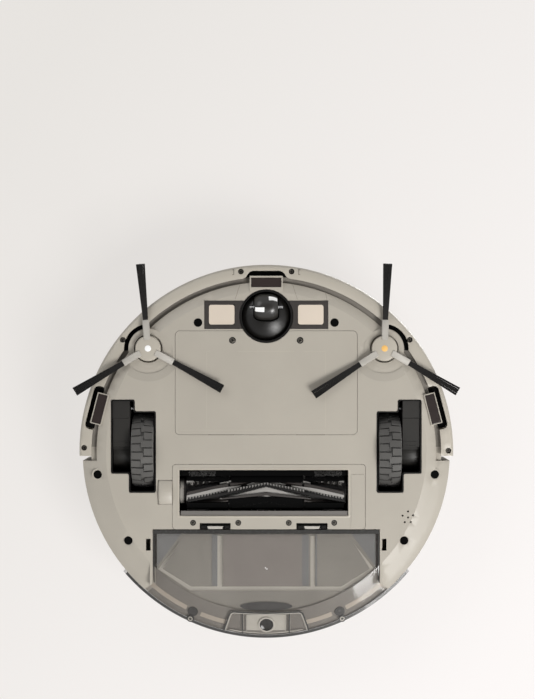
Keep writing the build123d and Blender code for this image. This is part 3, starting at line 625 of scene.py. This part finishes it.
def roller_rows():
    """Pale blades, dark blades and bristle rows, repeated round the roller."""
    light, dark, hair = (bmesh.new() for _ in range(3))
    chance = random.Random(7)
    for group in range(BLADE_GROUPS):
        turn = 2 * math.pi * group / BLADE_GROUPS
        tapered_blade(light, turn + math.radians(-9), PALE_CHEVRON, 4.6 * MM)
        tapered_blade(light, turn + math.radians(14), PALE_ENDS, 4.4 * MM)
        tapered_blade(dark, turn + math.radians(3), DARK_ROW, 3.2 * MM, tip=ROLLER_TIP - 1.5 * MM)
        for i in range(TUFTS_IN_ROW):
            x = (-1 + 2 * i / (TUFTS_IN_ROW - 1)) * (ROLLER_HALF - 2 * MM)
            for _ in range(HAIRS_IN_TUFT):
                fan = chance.uniform(-1, 1)
                root = on_roller(x + fan * 0.9 * MM, turn - math.radians(17), 12.8 * MM)
                end = on_roller(x + fan * 2.3 * MM, turn - math.radians(25 + chance.uniform(-3, 3)),
                                ROLLER_TIP - chance.uniform(0.1, 1.0) * MM)
                strand(hair, root, end, 0.6 * MM, 0.4 * MM, 3)
    piece("roller_light_blades", light, LIGHT_RUBBER, "roller", ["roller_blades"], angle=50)
    piece("roller_dark_blades", dark, GREY, "roller", angle=50)
    piece("roller_bristles", hair, BRISTLE, "roller", angle=60)


def roller_flaps():
    """Flaps between the blades, each a curved plate round the axis; the flaps are guessed, and their near-black
    is painted shade for the roller's dark parts inside the housing.
    """
    bm = bmesh.new()
    low, high = 17.4, 18.6
    for x0, x1, start, end in FLAPS:
        rings = []
        for i in range(9):
            turn = start + (end - start) * i / 8
            section = ((x0, high), (x1, high), (x1, low), (x0, low))
            rings.append([round_roller(x, turn, r) for x, r in section])
        add_loops(bm, rings)
    piece("roller_flap", bm, SHADE_BLACK, "roller")


def roller_vane():
    """The dark chevron blade that tapers from the middle to both ends."""
    bm = bmesh.new()
    end_x, low, high = 39, 17.0, 19.6
    rings = []
    for i in range(41):
        x = -end_x + 2 * end_x * i / 40
        turn = 3.5 + 13 * abs(x) / end_x
        half = 3.6 - 2.2 * abs(x) / end_x
        section = ((high, -half), (high, half), (low, half), (low, -half))
        rings.append([round_roller(x, turn + a, r) for r, a in section])
    add_loops(bm, rings)
    piece("roller_vane", bm, GREY, "roller")


def toothed_row():
    """One chevron row of stiff tufts: a dark root band with short teeth along its leading edge."""
    teeth, backing = bmesh.new(), bmesh.new()
    count, end_x, foot = 53, 68, 17
    for i in range(count):
        x = -end_x + 2 * end_x * i / (count - 1)
        lead = TOOTH_ROW_TURN + TOOTH_ROW_SLOPE * abs(x)
        for half, start, end, reach in ((0.62, lead, lead + 7, 19.3), (1.32, lead + 5.5, lead + 12, 19.0)):
            section = ((x - half, reach), (x + half, reach), (x + half, foot), (x - half, foot))
            add_loops(teeth, [[round_roller(px, turn, r) for px, r in section] for turn in (start, end)])
    piece("roller_teeth", teeth, BRISTLE, "roller")
    half_band, low, high = 34, 17.5, 18.75
    rings = []
    for i in range(25):
        x = -half_band + 2 * half_band * i / 24
        lead = TOOTH_ROW_TURN + TOOTH_ROW_SLOPE * abs(x)
        section = ((high, -0.5), (high, 8), (low, 8), (low, -0.5))
        rings.append([round_roller(x, lead + a, r) for r, a in section])
    add_loops(backing, rings)
    piece("roller_backing", backing, LIGHT_RUBBER, "roller")


def roller_disc():
    """The pale disc at the roller's driven end."""
    disc = bmesh.new()
    profile = [(4.0, -76.5), (10.4, -76.5), (11.15, -75.9), (11.15, -72.6), (10.4, -72.1), (4.0, -72.1)]
    turned(disc, in_mm(profile), ROLLER_AXIS, ACROSS)
    piece("roller_end_disc", disc, ARM_RUBBER, "roller")


def roller_sleeve():
    """The black sleeve under the blades."""
    sleeve = bmesh.new()
    turned(sleeve, in_mm([(12.1, -71.0), (12.9, -70.6), (12.9, 69.2), (12.1, 69.6)]), ROLLER_AXIS, ACROSS)
    piece("roller_sleeve", sleeve, BLACK, "roller")


roller_vane()
toothed_row()
roller_flaps()
roller_disc()
roller_rows()
roller_sleeve()


# ---- side brushes ----------------------------------------------------------------------------
ARM_END = 25.5 * MM
TUFT_END = 74.5 * MM
TUFT_LAYERS = 4
TUFT_COLUMNS = 26
# stations along a rubber arm: distance from the hub, half width, lowest and highest z
ARM_STATIONS = ((7.4, 2.5, 3.1, 5.6), (7.7, 2.75, 2.7, 6.0), (12.5, 2.9, 3.0, 7.2),
                (24.6, 2.95, 4.5, 7.8), (25.2, 2.6, 4.9, 7.5))
# an arm's cross-section, as shares of its half width and half height
ARM_SECTION = ((-1, -0.7), (-0.86, -1), (0.86, -1), (1, -0.7), (1, 0.8), (-1, 0.8))
CAP_PROFILE = [(0.0, 3.15), (4.0, 3.2), (8.6, 3.5), (10.6, 3.9), (11.2, 4.7), (11.2, 8), (9, 8.1), (9, 13.4),
               (2.5, 13.5)]
BUTTON_PROFILE = [(0.0, 2.75), (1.8, 2.8), (2.7, 3.0), (2.9, 3.4), (2.9, 3.9)]


def brush_axes(hand):
    """Hub centre and the three arm directions, read from the bristle tufts."""
    centre = middle(f"{hand}_brush_hub")
    centre.z = 0
    far = {}
    for vertex in NODES[f"{hand}_brush_bristles"].data.vertices:
        way = Vector((vertex.co.x, vertex.co.y, 0)) - centre
        if way.length > 60 * MM:
            angle = math.degrees(math.atan2(way.y, way.x)) % 360
            for key in far:
                if min(abs(angle - key), 360 - abs(angle - key)) < 30:
                    far[key].append(way.normalized())
                    break
            else:
                far[angle] = [way.normalized()]
    return centre, [sum(ways, Vector()).normalized() for ways in far.values()]


def brush_arm(bm, centre, way):
    """One rubber arm from the hub outwards."""
    across = Vector((-way.y, way.x, 0))
    rings = []
    for reach, half, low, high in ARM_STATIONS:
        ring = []
        for u, v in ARM_SECTION:
            z = (low + high) / 2 + v * (high - low) / 2
            ring.append(centre + way * reach * MM + across * u * half * MM + Vector((0, 0, z * MM)))
        rings.append(ring)
    add_loops(bm, rings)


def brush_tuft(bm, centre, way, luck):
    """Strands that leave the arm as a flat bundle and fan out a little."""
    across = Vector((-way.y, way.x, 0))
    for layer in range(TUFT_LAYERS):
        for column in range(TUFT_COLUMNS):
            u = -1 + 2 * (column + 0.5) / TUFT_COLUMNS
            v = -1 + 2 * (layer + 0.5) / TUFT_LAYERS
            root = centre + way * (ARM_END - 1.5 * MM) + across * u * 2.15 * MM + point(0, 0, 6.3 + v * 0.9)
            end = (centre + way * (TUFT_END - luck.uniform(0, 0.8) * MM)
                   + across * (u * 3.9 + luck.uniform(-0.18, 0.18)) * MM
                   + point(0, 0, 2.2 + v * 0.6 + luck.uniform(-0.08, 0.08)))
            strand(bm, root, end, 0.34 * MM, 0.36 * MM)


def side_brush(hand, button, seed):
    """A side brush: cap with its centre button, three rubber arms and three tufts."""
    centre, ways = brush_axes(hand)
    arms, tufts, cap, dot = (bmesh.new() for _ in range(4))
    luck = random.Random(seed)
    for way in ways:
        brush_arm(arms, centre, way)
        brush_tuft(tufts, centre, way, luck)
    turned(cap, in_mm(CAP_PROFILE), centre, UP, steps=72)
    turned(dot, in_mm(BUTTON_PROFILE), centre, UP, steps=48)
    body = f"{hand}_brush"
    piece(f"{hand}_brush_arm_set", arms, ARM_RUBBER, body, [f"{hand}_brush_arms"], angle=40)
    piece(f"{hand}_brush_tufts", tufts, BRISTLE, body, [f"{hand}_brush_bristles"], angle=60)
    piece(f"{hand}_brush_cap", cap, SHELL_LIGHT, body, [f"{hand}_brush_hub"])
    piece(f"{hand}_brush_button", dot, button, body)


side_brush("left", WHITE, 11)
side_brush("right", AMBER, 12)


# ---- caster ----------------------------------------------------------------------------------
CUP = middle("caster_cup")
CASTER = middle("caster_wheel")
CASTER_R = (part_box("caster_wheel")[1].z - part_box("caster_wheel")[0].z) / 2
CASTER_HALF = 10.4 * MM
AXLE_BORE = 1.56 * MM
FORK_R = 21.2 * MM
FORK_DOME = 34.0            # radius of the fork's domed underside, in millimetres
FORK_LOW = 6.6              # lowest point of the dome
FORK_SLOT = 11.4 * MM
# back edge of the wheel slot: share of its half width, and how far it lies before the middle
SLOT_EDGE = ((1, 4.6), (0.93, 3.0), (0.8, 1.8), (0.6, 0.9), (0.35, 0.3), (0, 0))


def caster_radius(x):
    """Radius of the barrel-shaped caster wheel at x, a share of its half width."""
    return CASTER_R - 3.1 * MM * abs(x) ** 3.2


def caster_wheel():
    """The barrel-shaped wheel."""
    bm = bmesh.new()
    profile = [(AXLE_BORE, -CASTER_HALF)]
    for i in range(25):
        x = -1 + 2 * i / 24
        profile.append((caster_radius(x), x * CASTER_HALF))
    profile.append((AXLE_BORE, CASTER_HALF))
    turned(bm, profile, CASTER, ACROSS, steps=96)
    piece("caster_roller", bm, CASTER_RUBBER, "caster_wheel", ["caster_wheel"])


def caster_marks():
    """Two white patches on the tread."""
    bm = bmesh.new()
    for x0, x1, mid_angle, width in ((-9.7, -1.6, 168, 20), (2.2, 9.7, 219, 19)):
        outline = [(x0 + (x1 - x0) * i / 12, 0) for i in range(13)]
        outline += [(x1 + (x0 - x1) * i / 12, 1) for i in range(13)]
        rings = []
        for lift in (-0.4, 0.4):
            ring = []
            for x, edge in outline:
                radius = caster_radius(x * MM / CASTER_HALF) + lift * MM
                turn = math.radians(mid_angle - width / 2 + width * edge)
                ring.append(CASTER + Vector((x * MM, radius * math.sin(turn), radius * math.cos(turn))))
            rings.append(ring)
        add_loops(bm, rings)
    piece("caster_marks", bm, WHITE, "caster_wheel", angle=50)


def working_object(name, bm):
    """A helper object for a modifier; it is removed again once it has been used."""
    bmesh.ops.recalc_face_normals(bm, faces=bm.faces)
    mesh = bpy.data.meshes.new(name)
    bm.to_mesh(mesh)
    bm.free()
    made = bpy.data.objects.new(name, mesh)
    scene.collection.objects.link(made)
    return made


def fork_dome():
    """The domed swivel, still whole."""
    count = 96
    section = [(FORK_R, 27.5), (FORK_R, 14.2)]
    for r in (20.8, 20, 18.5, 17, 15, 13, 11, 9, 7, 5, 3, 1):
        section.append((r * MM, FORK_LOW + FORK_DOME - math.sqrt(FORK_DOME * FORK_DOME - r * r)))
    rings = []
    for radius, z in section:
        turns = [2 * math.pi * i / count for i in range(count)]
        ring = [(CUP.x + radius * math.cos(t), CUP.y + radius * math.sin(t), z * MM) for t in turns]
        rings.append([Vector(place) for place in ring])
    bm = bmesh.new()
    add_loops(bm, rings)
    return working_object("fork_form", bm)


def fork_opening():
    """What is cut out of the dome: the wheel's slot and the notch for its axle."""
    front = CASTER.y - CASTER_R - 10 * MM
    back = CASTER.y + CASTER_R + 0.9 * MM
    opening = [(-FORK_SLOT, front), (FORK_SLOT, front)]
    opening += [(x * FORK_SLOT, back - dip * MM) for x, dip in SLOT_EDGE]
    opening += [(-x * FORK_SLOT, back - dip * MM) for x, dip in SLOT_EDGE[-2::-1]]
    bm = bmesh.new()
    prism(bm, opening, 0, 24.5 * MM)
    prism(bm, corners(-15 * MM, CASTER.y - 1.9 * MM, 15 * MM, CASTER.y + 1.9 * MM), 0, 13.6 * MM)
    return working_object("fork_cut", bm)


def caster_fork():
    """Domed swivel with a slot for the wheel and a fender behind it."""
    form = fork_dome()
    cutter = fork_opening()
    tool = form.modifiers.new("cut", "BOOLEAN")
    tool.operation = "DIFFERENCE"
    tool.solver = "EXACT"
    tool.use_self = True
    tool.object = cutter
    round_off = form.modifiers.new("round", "BEVEL")
    round_off.width = 0.5 * MM
    round_off.segments = 3
    round_off.limit_method = "ANGLE"
    round_off.angle_limit = math.radians(40)
    bpy.context.view_layer.update()
    shape = bpy.data.meshes.new_from_object(form.evaluated_get(bpy.context.evaluated_depsgraph_get()))
    bpy.data.objects.remove(form)
    bpy.data.objects.remove(cutter)
    bm = bmesh.new()
    bm.from_mesh(shape)
    piece("caster_fork", bm, FORK, "caster_swivel", ["caster_swivel"], angle=40)


caster_wheel()
caster_marks()
caster_fork()


# ---- screws ----------------------------------------------------------------------------------
CROSS_POINTS = 12


def screw(bm, base, head_r, depth, shank_r):
    """A pan-head screw seen from below, with a cross recess in its head."""
    rim = [(shank_r, depth), (shank_r, 1.6 * MM), (head_r, 1.45 * MM), (head_r, 0.55 * MM),
           (head_r * 0.8, 0.1 * MM), (head_r * 0.62, 0.0)]
    steps = 32
    rows = turned(bm, rim, base, UP, steps=steps, caps=False)
    arm, half = head_r * 0.52, head_r * 0.14
    cross = []
    for quarter in range(4):
        turn = quarter * math.pi / 2 + 0.35
        u = Vector((math.cos(turn), math.sin(turn), 0))
        v = Vector((-math.sin(turn), math.cos(turn), 0))
        cross += [base + u * arm - v * half, base + u * arm + v * half, base + (u + v) * half]
    top = [bm.verts.new(p) for p in cross]
    deep = [bm.verts.new(p + point(0, 0, 0.9)) for p in cross]
    for i in range(CROSS_POINTS):
        j = (i + 1) % CROSS_POINTS
        bm.faces.new((top[i], top[j], deep[j], deep[i]))
    bm.faces.new(deep)
    bridge = [bm.edges.get((rows[-1][i], rows[-1][(i + 1) % steps])) for i in range(steps)]
    bridge += [bm.edges.get((top[i], top[(i + 1) % CROSS_POINTS])) for i in range(CROSS_POINTS)]
    bmesh.ops.bridge_loops(bm, edges=bridge)
    bm.faces.new(rows[0])


def islands(node):
    """The separate solids of a node, each as (lowest, highest) corner."""
    bm = bmesh.new()
    bm.from_mesh(NODES[node].data)
    bmesh.ops.remove_doubles(bm, verts=bm.verts, dist=1e-6)
    left, found = set(bm.verts), []
    while left:
        stack, group = [left.pop()], []
        while stack:
            vertex = stack.pop()
            group.append(vertex.co.copy())
            for edge in vertex.link_edges:
                other = edge.other_vert(vertex)
                if other in left:
                    left.remove(other)
                    stack.append(other)
        found.append((Vector([min(p[k] for p in group) for k in range(3)]),
                      Vector([max(p[k] for p in group) for k in range(3)])))
    bm.free()
    return sorted(found, key=lambda pair: tuple(pair[0]))


def screw_set(body):
    """All the screws of one body, in the places of their CAD solids."""
    bm = bmesh.new()
    for low, high in islands(f"{body}_screws"):
        centre = (low + high) / 2
        head_r = (high.x - low.x) / 2
        screw(bm, Vector((centre.x, centre.y, low.z)), head_r, high.z - low.z, head_r * 0.45)
    piece(f"{body}_screw_set", bm, DARK_SCREW, body, [f"{body}_screws"], angle=30)


for body in ("chassis", "guard", "bumper"):
    screw_set(body)


# ---- inside the brush housing ----------------------------------------------------------------
def housing_strips():
    """The scraper behind the roller, and a black tile across the front of the mouth: painted shade where the
    housing's front lies in darkness.
    """
    scraper, lip = bmesh.new(), bmesh.new()
    block(scraper, -75.5, 51.9, 71.5, 55.9, 9.8, 11.8, 0.4)
    piece("scraper_strip", scraper, SCRAPER, "guard")
    # a black tile across the mouth: painted shade for the dark front of the housing
    block(lip, -76.2, 16.1, 71.9, 21.2, 12.6, 13.0, 0.1)
    piece("mouth_shade", lip, SHADE_BLACK, "chassis")


def felt_tufts():
    """Short dark fibres on the black painted-shade tile at the front of the brush housing, left and right."""
    bm = bmesh.new()
    luck = random.Random(21)
    for x0, x1 in ((-68.0, -45.0), (42.5, 66.5)):
        for _ in range(520):
            x, y = luck.uniform(x0, x1), luck.uniform(16.6, 21.0)
            start = point(x, y, 12.6)
            end = start + point(luck.uniform(-0.8, 0.8), luck.uniform(-0.2, 1.2), -luck.uniform(0.5, 1.4))
            strand(bm, start, end, 0.26 * MM, 0.2 * MM, 3)
    piece("lip_felt", bm, FELT, "chassis", angle=60)


housing_strips()
felt_tufts()


# ---- inside the dustbin ----------------------------------------------------------------------
RIM_ANGLES = (41.0, 139.0)
TRAY_FRONT = 73.0           # front and back of the tray's panels
TRAY_BACK = 118.4
RIB_Z = 15.15
RIB_THICK = 1.6


def bin_tray():
    """The tray seen through the smoky floor: its floor, middle panel, cool corners and ribs."""
    tray, panel, cool, ribs = (bmesh.new() for _ in range(4))
    low = [(-96.6, 72.5), (96.6, 72.5), (96.6, 102.0)]
    tile(tray, low + arc(142.5, 47.5, 132.5) + [(-96.6, 102.0)], 13.4)
    piece("bin_tray_floor", tray, TRAY, "dustbin")
    tile(panel, corners(-37.4, TRAY_FRONT, 37.4, TRAY_BACK), 12.9)
    piece("bin_tray_panel", panel, TRAY_PANEL, "dustbin")
    for side in (-1, 1):
        tile(cool, [(side * 96.4, 72.4), (side * 75, 72.4), (side * 96.4, 101)], 12.8)
    for x0, x1 in ((-48, -43), (31.5, 37.4), (43.2, 45)):
        tile(cool, corners(x0, TRAY_FRONT, x1, TRAY_BACK), 12.85)
    piece("bin_tray_corners", cool, TRAY_COOL, "dustbin")
    for x in (-40.4, 40.2):
        tile(ribs, corners(x - 2.7, TRAY_FRONT, x + 2.7, 119), RIB_Z, RIB_THICK)
    ribbon(ribs, [(-74, 72.8), (-96, 101.5)], 3.7, 0, RIB_THICK, RIB_Z)
    ribbon(ribs, [(74, 72.8), (96, 101.5)], 1.6, 0, RIB_THICK, RIB_Z)
    ribbon(ribs, [(-69, 120.5), (69, 120.5)], 3.7, 0, RIB_THICK, RIB_Z)
    for side in (-1, 1):
        ribbon(ribs, [(side * 96.5, 104), (side * 69, 121)], 1.7, 0, RIB_THICK, RIB_Z)
    piece("bin_tray_ribs", ribs, TRAY_RIB, "dustbin")


def bin_flank():
    """What shows through the bin's sloping flank: its lining, a pale band and the dark edges."""
    flank, band, edge = (bmesh.new() for _ in range(3))
    sector(flank, 141.2, 162.4, *RIM_ANGLES, -2.5)
    piece("bin_flank_lining", flank, TRAY_FLANK, "dustbin")
    for start, end in ((43, 63), (68, 77), (103, 112), (117, 137)):
        sector(band, 152.8, 156.8, start, end, -2.2)
    piece("bin_flank_band", band, TRAY_RIB, "dustbin")
    sector(edge, 162.5, 164.95, *RIM_ANGLES, 0.06)
    tile(edge, corners(-99.3, 68.7, 99.3, 71.9), 8.94)
    for side in (-1, 1):
        ribbon(edge, [(side * 98.9, 71.9), (side * 98.9, 115)], 0.9, 0.05)
    piece("bin_edges", edge, SMOKE_EDGE, "dustbin")


def bin_marks():
    """The dark lens behind the release, and two white dots at the moulding gate: painted glints."""
    lens, marks = bmesh.new(), bmesh.new()
    for scale, z in ((1.0, 12.4), (0.7, 12.0)):
        turns = [math.pi * i / 24 for i in range(48)]
        tile(lens, [(scale * 23 * math.cos(t), 136.2 + scale * 3.8 * math.sin(t)) for t in turns], z)
    piece("bin_lens", lens, LENS, "dustbin")
    # two white dots: painted glints at the moulding gate
    for x, y in ((-0.7, 101.9), (0.6, 102.9)):
        turned(marks, in_mm([(0.0, 8.8), (0.45, 8.8), (0.5, 9.3)]), point(x, y), UP, steps=16)
    piece("bin_gate_glints", marks, WHITE, "dustbin")


# half of the release chamber's outline, from its back corner to the middle of its front
RELEASE_SIDE = ((37.6, 159.0), (36.6, 155.0), (32.6, 143.6), (31.6, 141.8), (29.6, 140.8), (20, 141.4))
RING_PROFILE = [(5.9, -1.6), (6.0, 0.35), (6.4, 0.6), (7.2, 0.5), (7.5, 0.1), (7.5, -1.6)]
CUP_PROFILE = [(0.0, 0.0), (1.1, -0.05), (1.3, -0.5), (4.9, -0.3), (5.88, 0.3), (5.88, -1.6)]
BOSS_RING = [(1.3, -1.0), (1.3, 0.25), (2.0, 0.3), (2.3, -1.0)]
BOSS_SEAM = [(2.3, -1.0), (2.4, 0.15), (3.2, 0.12), (3.3, -1.0)]
BOSS_SHADE = [(0.0, 0.0), (4.4, -0.05), (4.6, -0.6)]


def bin_release():
    """The release chamber under the bin's back edge, and the two round bosses beside it."""
    seam, rim, cell, ring, cup = (bmesh.new() for _ in range(5))
    outline = [(-x, y) for x, y in RELEASE_SIDE] + [(0, 142.0)] + list(RELEASE_SIDE[::-1])
    ribbon(seam, outline, 1.3, 0.12)
    ribbon(seam, [(x * 0.985, y) for x, y in arc(163.0, 77.3, 102.7)], 0.9, 0.10)
    for x in (-20.8, 20.4):
        ribbon(seam, [(x, 142.5), (x, 161)], 0.9, 0.10)
    # pale ribbons just inside the outlines: painted highlight on their bevels
    ribbon(rim, [(x * 0.965, 151.5 + (y - 151.5) * 0.90) for x, y in outline], 0.6, 0.08)
    ribbon(rim, arc(160.6, 78.4, 101.6), 0.6, 0.08)
    ribbon(rim, [(-17.4, 158.6), (-17.4, 143.6), (17.2, 143.6), (17.2, 158.6)], 0.5, 0.08)
    ribbon(cell, [(-17, 151), (17, 151)], 14.2, -1.0)
    centre = point(0.2, 152.6)
    centre.z = under_z(0, 152.6 * MM)
    axis = Vector((0, FLANK_RISE, -1))
    turned(ring, in_mm(RING_PROFILE), centre, axis)
    turned(cup, in_mm(CUP_PROFILE), centre, axis, steps=48)
    for side in (-1, 1):
        spot = on_under(side * 67.2, 147.9)
        tilt = Vector((spot.x, spot.y, 0)).normalized() * FLANK_RISE - Vector(UP)
        turned(ring, in_mm(BOSS_RING), spot, tilt, steps=32)
        turned(seam, in_mm(BOSS_SEAM), spot, tilt, steps=32)
        turned(seam, in_mm(BOSS_SHADE), on_under(side * 65.0, 141.6, 1.2), tilt, steps=40)
    piece("release_seams", seam, SMOKE_EDGE, "dustbin")
    piece("release_painted_highlights", rim, PALE_AND_HIGHLIGHT, "dustbin")
    piece("release_cell", cell, TRAY, "dustbin")
    piece("release_ring", ring, PALE_AND_HIGHLIGHT, "dustbin")
    piece("release_cup", cup, GLOSS, "dustbin")


bin_tray()
bin_flank()
bin_marks()
bin_release()


# ---- groove, latches and screw wells ---------------------------------------------------------
GROOVE_ANGLES = (-178.4, -1.6)
GROOVE_RADII = (149.7, 154.3)


def groove():
    """A darker floor in the groove between the bumper's lip and the chassis: painted shade of the groove."""
    floor = bmesh.new()
    low, high = GROOVE_RADII
    ribbon(floor, arc((low + high) / 2, *GROOVE_ANGLES), high - low, 0, 0.4, level=15.3)
    piece("groove_painted_shade", floor, GROOVE_SHADE, "chassis")


def latch(hand):
    """A guard latch: a dark bar with a pale finger pad between two black cheeks."""
    low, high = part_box(f"guard_latch_{hand}")
    mid = (low.x + high.x) / 2 / MM
    bar, pad = bmesh.new(), bmesh.new()
    prism(bar, corners(low.x, low.y, high.x, high.y), 10.6 * MM, high.z, 0.3 * MM)
    for x in (mid - 10.6, mid + 10.6):
        block(bar, x - 2.3, 64.6, x + 2.3, 67.6, 9.3, 11, 0.5)
    pad_outline = [(mid - 7, 65.3), (mid + 7, 65.3), (mid + 6.2, 67.8), (mid - 6.2, 67.8)]
    prism(pad, in_mm(pad_outline), 9.0 * MM, 11 * MM, 0.4 * MM)
    piece(f"latch_bar_{hand}", bar, BLACK, f"latch_{hand}", [f"guard_latch_{hand}"])
    piece(f"latch_pad_{hand}", pad, ARM_RUBBER, f"latch_{hand}")


def screw_centres(node):
    """For each screw of a node: its axis in plan, the z of its head and the z of its tip."""
    return [(Vector(((low.x + high.x) / 2, (low.y + high.y) / 2, 0)), low.z, high.z)
            for low, high in islands(node)]


def well_liners():
    """Near-black sleeves in the deep screw wells and black rims round the screws sunk less: both painted shade
    inside the holes.
    """
    wells, rims, guard_rims, bumper_rims = (bmesh.new() for _ in range(4))
    for centre, head, tip in screw_centres("chassis_screws"):
        if head > 12 * MM:
            base = under_z(centre.x, centre.y)
            sleeve = [(3.75 * MM, base + 0.35 * MM), (3.3 * MM, base + 0.5 * MM), (3.2 * MM, head - 0.1 * MM),
                      (3.75 * MM, head)]
            floor = [(0.0, head - 0.35 * MM), (3.3 * MM, head - 0.3 * MM), (3.3 * MM, head)]
            turned(wells, sleeve, centre, UP, steps=40)
            turned(wells, floor, centre, UP, steps=40)
        else:
            rim = [(2.1 * MM, head + 0.2 * MM), (2.95 * MM, head - 0.3 * MM), (2.95 * MM, tip - 4 * MM)]
            turned(rims, rim, centre, UP, steps=40)
    for centre, head, _ in screw_centres("guard_screws"):
        rim = [(1.7 * MM, head + 0.1 * MM), (2.55 * MM, head - 0.15 * MM), (2.55 * MM, head + 0.6 * MM)]
        turned(guard_rims, rim, centre, UP, steps=32)
    for centre, head, _ in screw_centres("bumper_screws"):
        rim = [(2.0 * MM, head + 0.1 * MM), (2.45 * MM, head - 1.0 * MM), (2.45 * MM, head + 1 * MM)]
        turned(bumper_rims, rim, centre, UP, steps=32)
    # the sleeves and rims paint the shade inside the screw holes
    piece("screw_well_shade", wells, SHADE_BLACK, "chassis")
    piece("cover_screw_shade_rims", rims, BLACK, "chassis")
    piece("guard_screw_shade_rims", guard_rims, BLACK, "guard")
    piece("bumper_screw_shade_rims", bumper_rims, BLACK, "bumper")


groove()
for hand in ("left", "right"):
    latch(hand)
well_liners()


# ---- notches, fine lines and trim ------------------------------------------------------------
# the black notch floors are painted shade
GAP_Z = 14.4                # height of the dark floors in the notches
WINDOW_FRAME = (-76.4, 15.9, 72.1, 56.1)    # the guard's window: x0, y0, x1, y1


def notch_shade_floors():
    """Black floors in the notches round the side brushes, the cliff windows and at the front: painted shade."""
    gaps = bmesh.new()
    for hand in ("left", "right"):
        hub = middle(f"{hand}_brush_hub") / MM
        toward = math.degrees(math.atan2(hub.y, hub.x))
        turns = [math.radians(toward + t) for t in range(-46, 47, 4)]
        bend = [(hub.x + 19.9 * math.cos(t), hub.y + 19.9 * math.sin(t)) for t in turns]
        ribbon(gaps, bend, 3.6, 0, level=GAP_Z)
        window = middle(f"cliff_window_{hand}") / MM
        out = Vector((window.x, window.y, 0)).normalized()
        along = Vector((-out.y, out.x, 0))
        spot = Vector((window.x, window.y, 0)) + out * 5.0
        ribbon(gaps, [tuple((spot + along * t)[:2]) for t in (-18.2, 18.2)], 8.6, 0, level=GAP_Z)
    tile(gaps, [(-16, -159.2), (16, -159.2), (18.5, -154.3), (-18.5, -154.3)], GAP_Z)
    piece("notch_shade_floors", gaps, SHADE_BLACK, "chassis")


def dish_painted_shade(hand):
    """Painted shade along the back edge of the dish under a side brush."""
    hub = middle(f"{hand}_brush_hub") / MM
    rim = bmesh.new()
    turns = [math.radians(t) for t in range(14, 167, 4)]
    for step in range(7):
        reach = 20.5 + step
        edge = [(hub.x + reach * math.cos(t), hub.y + 6 + (reach - 4.0) * math.sin(t)) for t in turns]
        ribbon(rim, edge, 1.05, 0.01 + 0.002 * step, 0.1)
    piece(f"dish_painted_shade_{hand}", rim, DISH_SHADE, "chassis")


def cover_lines():
    """Fine lines of the battery cover, the guard and the shell in front of the contacts."""
    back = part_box("battery_cover")[1].y / MM + 0.15
    raised, seams = bmesh.new(), bmesh.new()
    ribbon(raised, [(-52.4, -21), (-52.4, -88.6), (-49, -88.6)], 0.5, 0.08, 0.2)
    ribbon(raised, [(52.2, -21), (52.2, -88.6), (33, -88.6)], 0.5, 0.08, 0.2)
    ribbon(raised, [(-25, -88.6), (25, -88.6)], 0.5, 0.08, 0.2)
    ribbon(raised, [(-76, -19.3), (52.2, -19.3)], 0.4, 0.06, 0.2)
    for x0, x1 in ((-51.0, -28.0), (26.3, 51.7)):
        ribbon(seams, [(x0, back), (x1, back)], 0.7, 0.03, 0.2)
    for start, end in (((-23.4, -147.0), (-27.4, -134.2)), ((23.4, -147.0), (27.4, -134.2)),
                       ((52.0, -143.0), (53.4, -133.6))):
        ribbon(seams, [start, end], 0.28, 0.03, 0.1)
    for x0, x1 in ((-68, -56), (-4, 5)):
        ribbon(seams, [(x0, 10.85), (x1, 10.85)], 0.7, 0.03, 0.2)
    piece("cover_panel_lines", raised, SHELL_LIGHT, "chassis")
    piece("cover_seams", seams, SEAM, "chassis")


def guard_trim():
    """The soft lip round the guard's window and the step at its gearbox end."""
    x0, y0, x1, y1 = WINDOW_FRAME
    lip, step = bmesh.new(), bmesh.new()
    corner_r = 0.8
    rings = []
    for out, z in ((0.05, 11.4), (0.05, 9.3), (0.5, 8.75), (1.3, 8.65), (2.0, 8.9), (2.1, 9.1)):
        ring = []
        for cx, cy, start in ((x1 - corner_r, y1 - corner_r, 0), (x0 + corner_r, y1 - corner_r, 90),
                              (x0 + corner_r, y0 + corner_r, 180), (x1 - corner_r, y0 + corner_r, 270)):
            for i in range(5):
                turn = math.radians(start + 90 * i / 4)
                reach = corner_r + out
                ring.append(point(cx + reach * math.cos(turn), cy + reach * math.sin(turn), z))
        rings.append(ring)
    add_loops(lip, rings, caps=False)
    piece("guard_lip", lip, SHELL_LIGHT, "guard")
    block(step, 74.6, 19.6, 86.0, 66.6, 8.6, 9.2, 0.3)
    piece("guard_step", step, SHELL, "guard")


def bumper_ticks():
    """Small raised ticks beside the two front bumper screws."""
    bm = bmesh.new()
    strokes = (((28.6, -160.6), (28.6, -156.2)), ((30.0, -160.3), (28.2, -160.5)),
               ((30.0, -156.0), (28.2, -156.2)))
    for side in (-1, 1):
        for stroke in strokes:
            ribbon(bm, [(side * x, y) for x, y in stroke], 0.55, 0, 0.5, level=9.9)
    piece("bumper_ticks", bm, SEAM, "bumper")


def arm_trim(side, hand):
    """The fixed lip before a wheel arm and the stepped ribs across the arm."""
    lip, ribs = bmesh.new(), bmesh.new()
    x0, x1 = sorted((side * 120.3, side * 135.2))
    block(lip, x0, -44.9, x1, -29.9, 10.9, 11.3)
    piece(f"{hand}_arm_lip", lip, BLACK_SATIN, "chassis")
    for y, wide in ((-8.8, 0.9), (-5.2, 1.2)):
        block(ribs, x0, y - wide / 2, x1, y + wide / 2, 10.6, 11.4, 0.25)
    piece(f"{hand}_arm_ribs", ribs, BLACK_SATIN, f"{hand}_arm")


for hand in ("left", "right"):
    dish_painted_shade(hand)
notch_shade_floors()
cover_lines()
guard_trim()
bumper_ticks()
arm_trim(-1, "left")
arm_trim(1, "right")
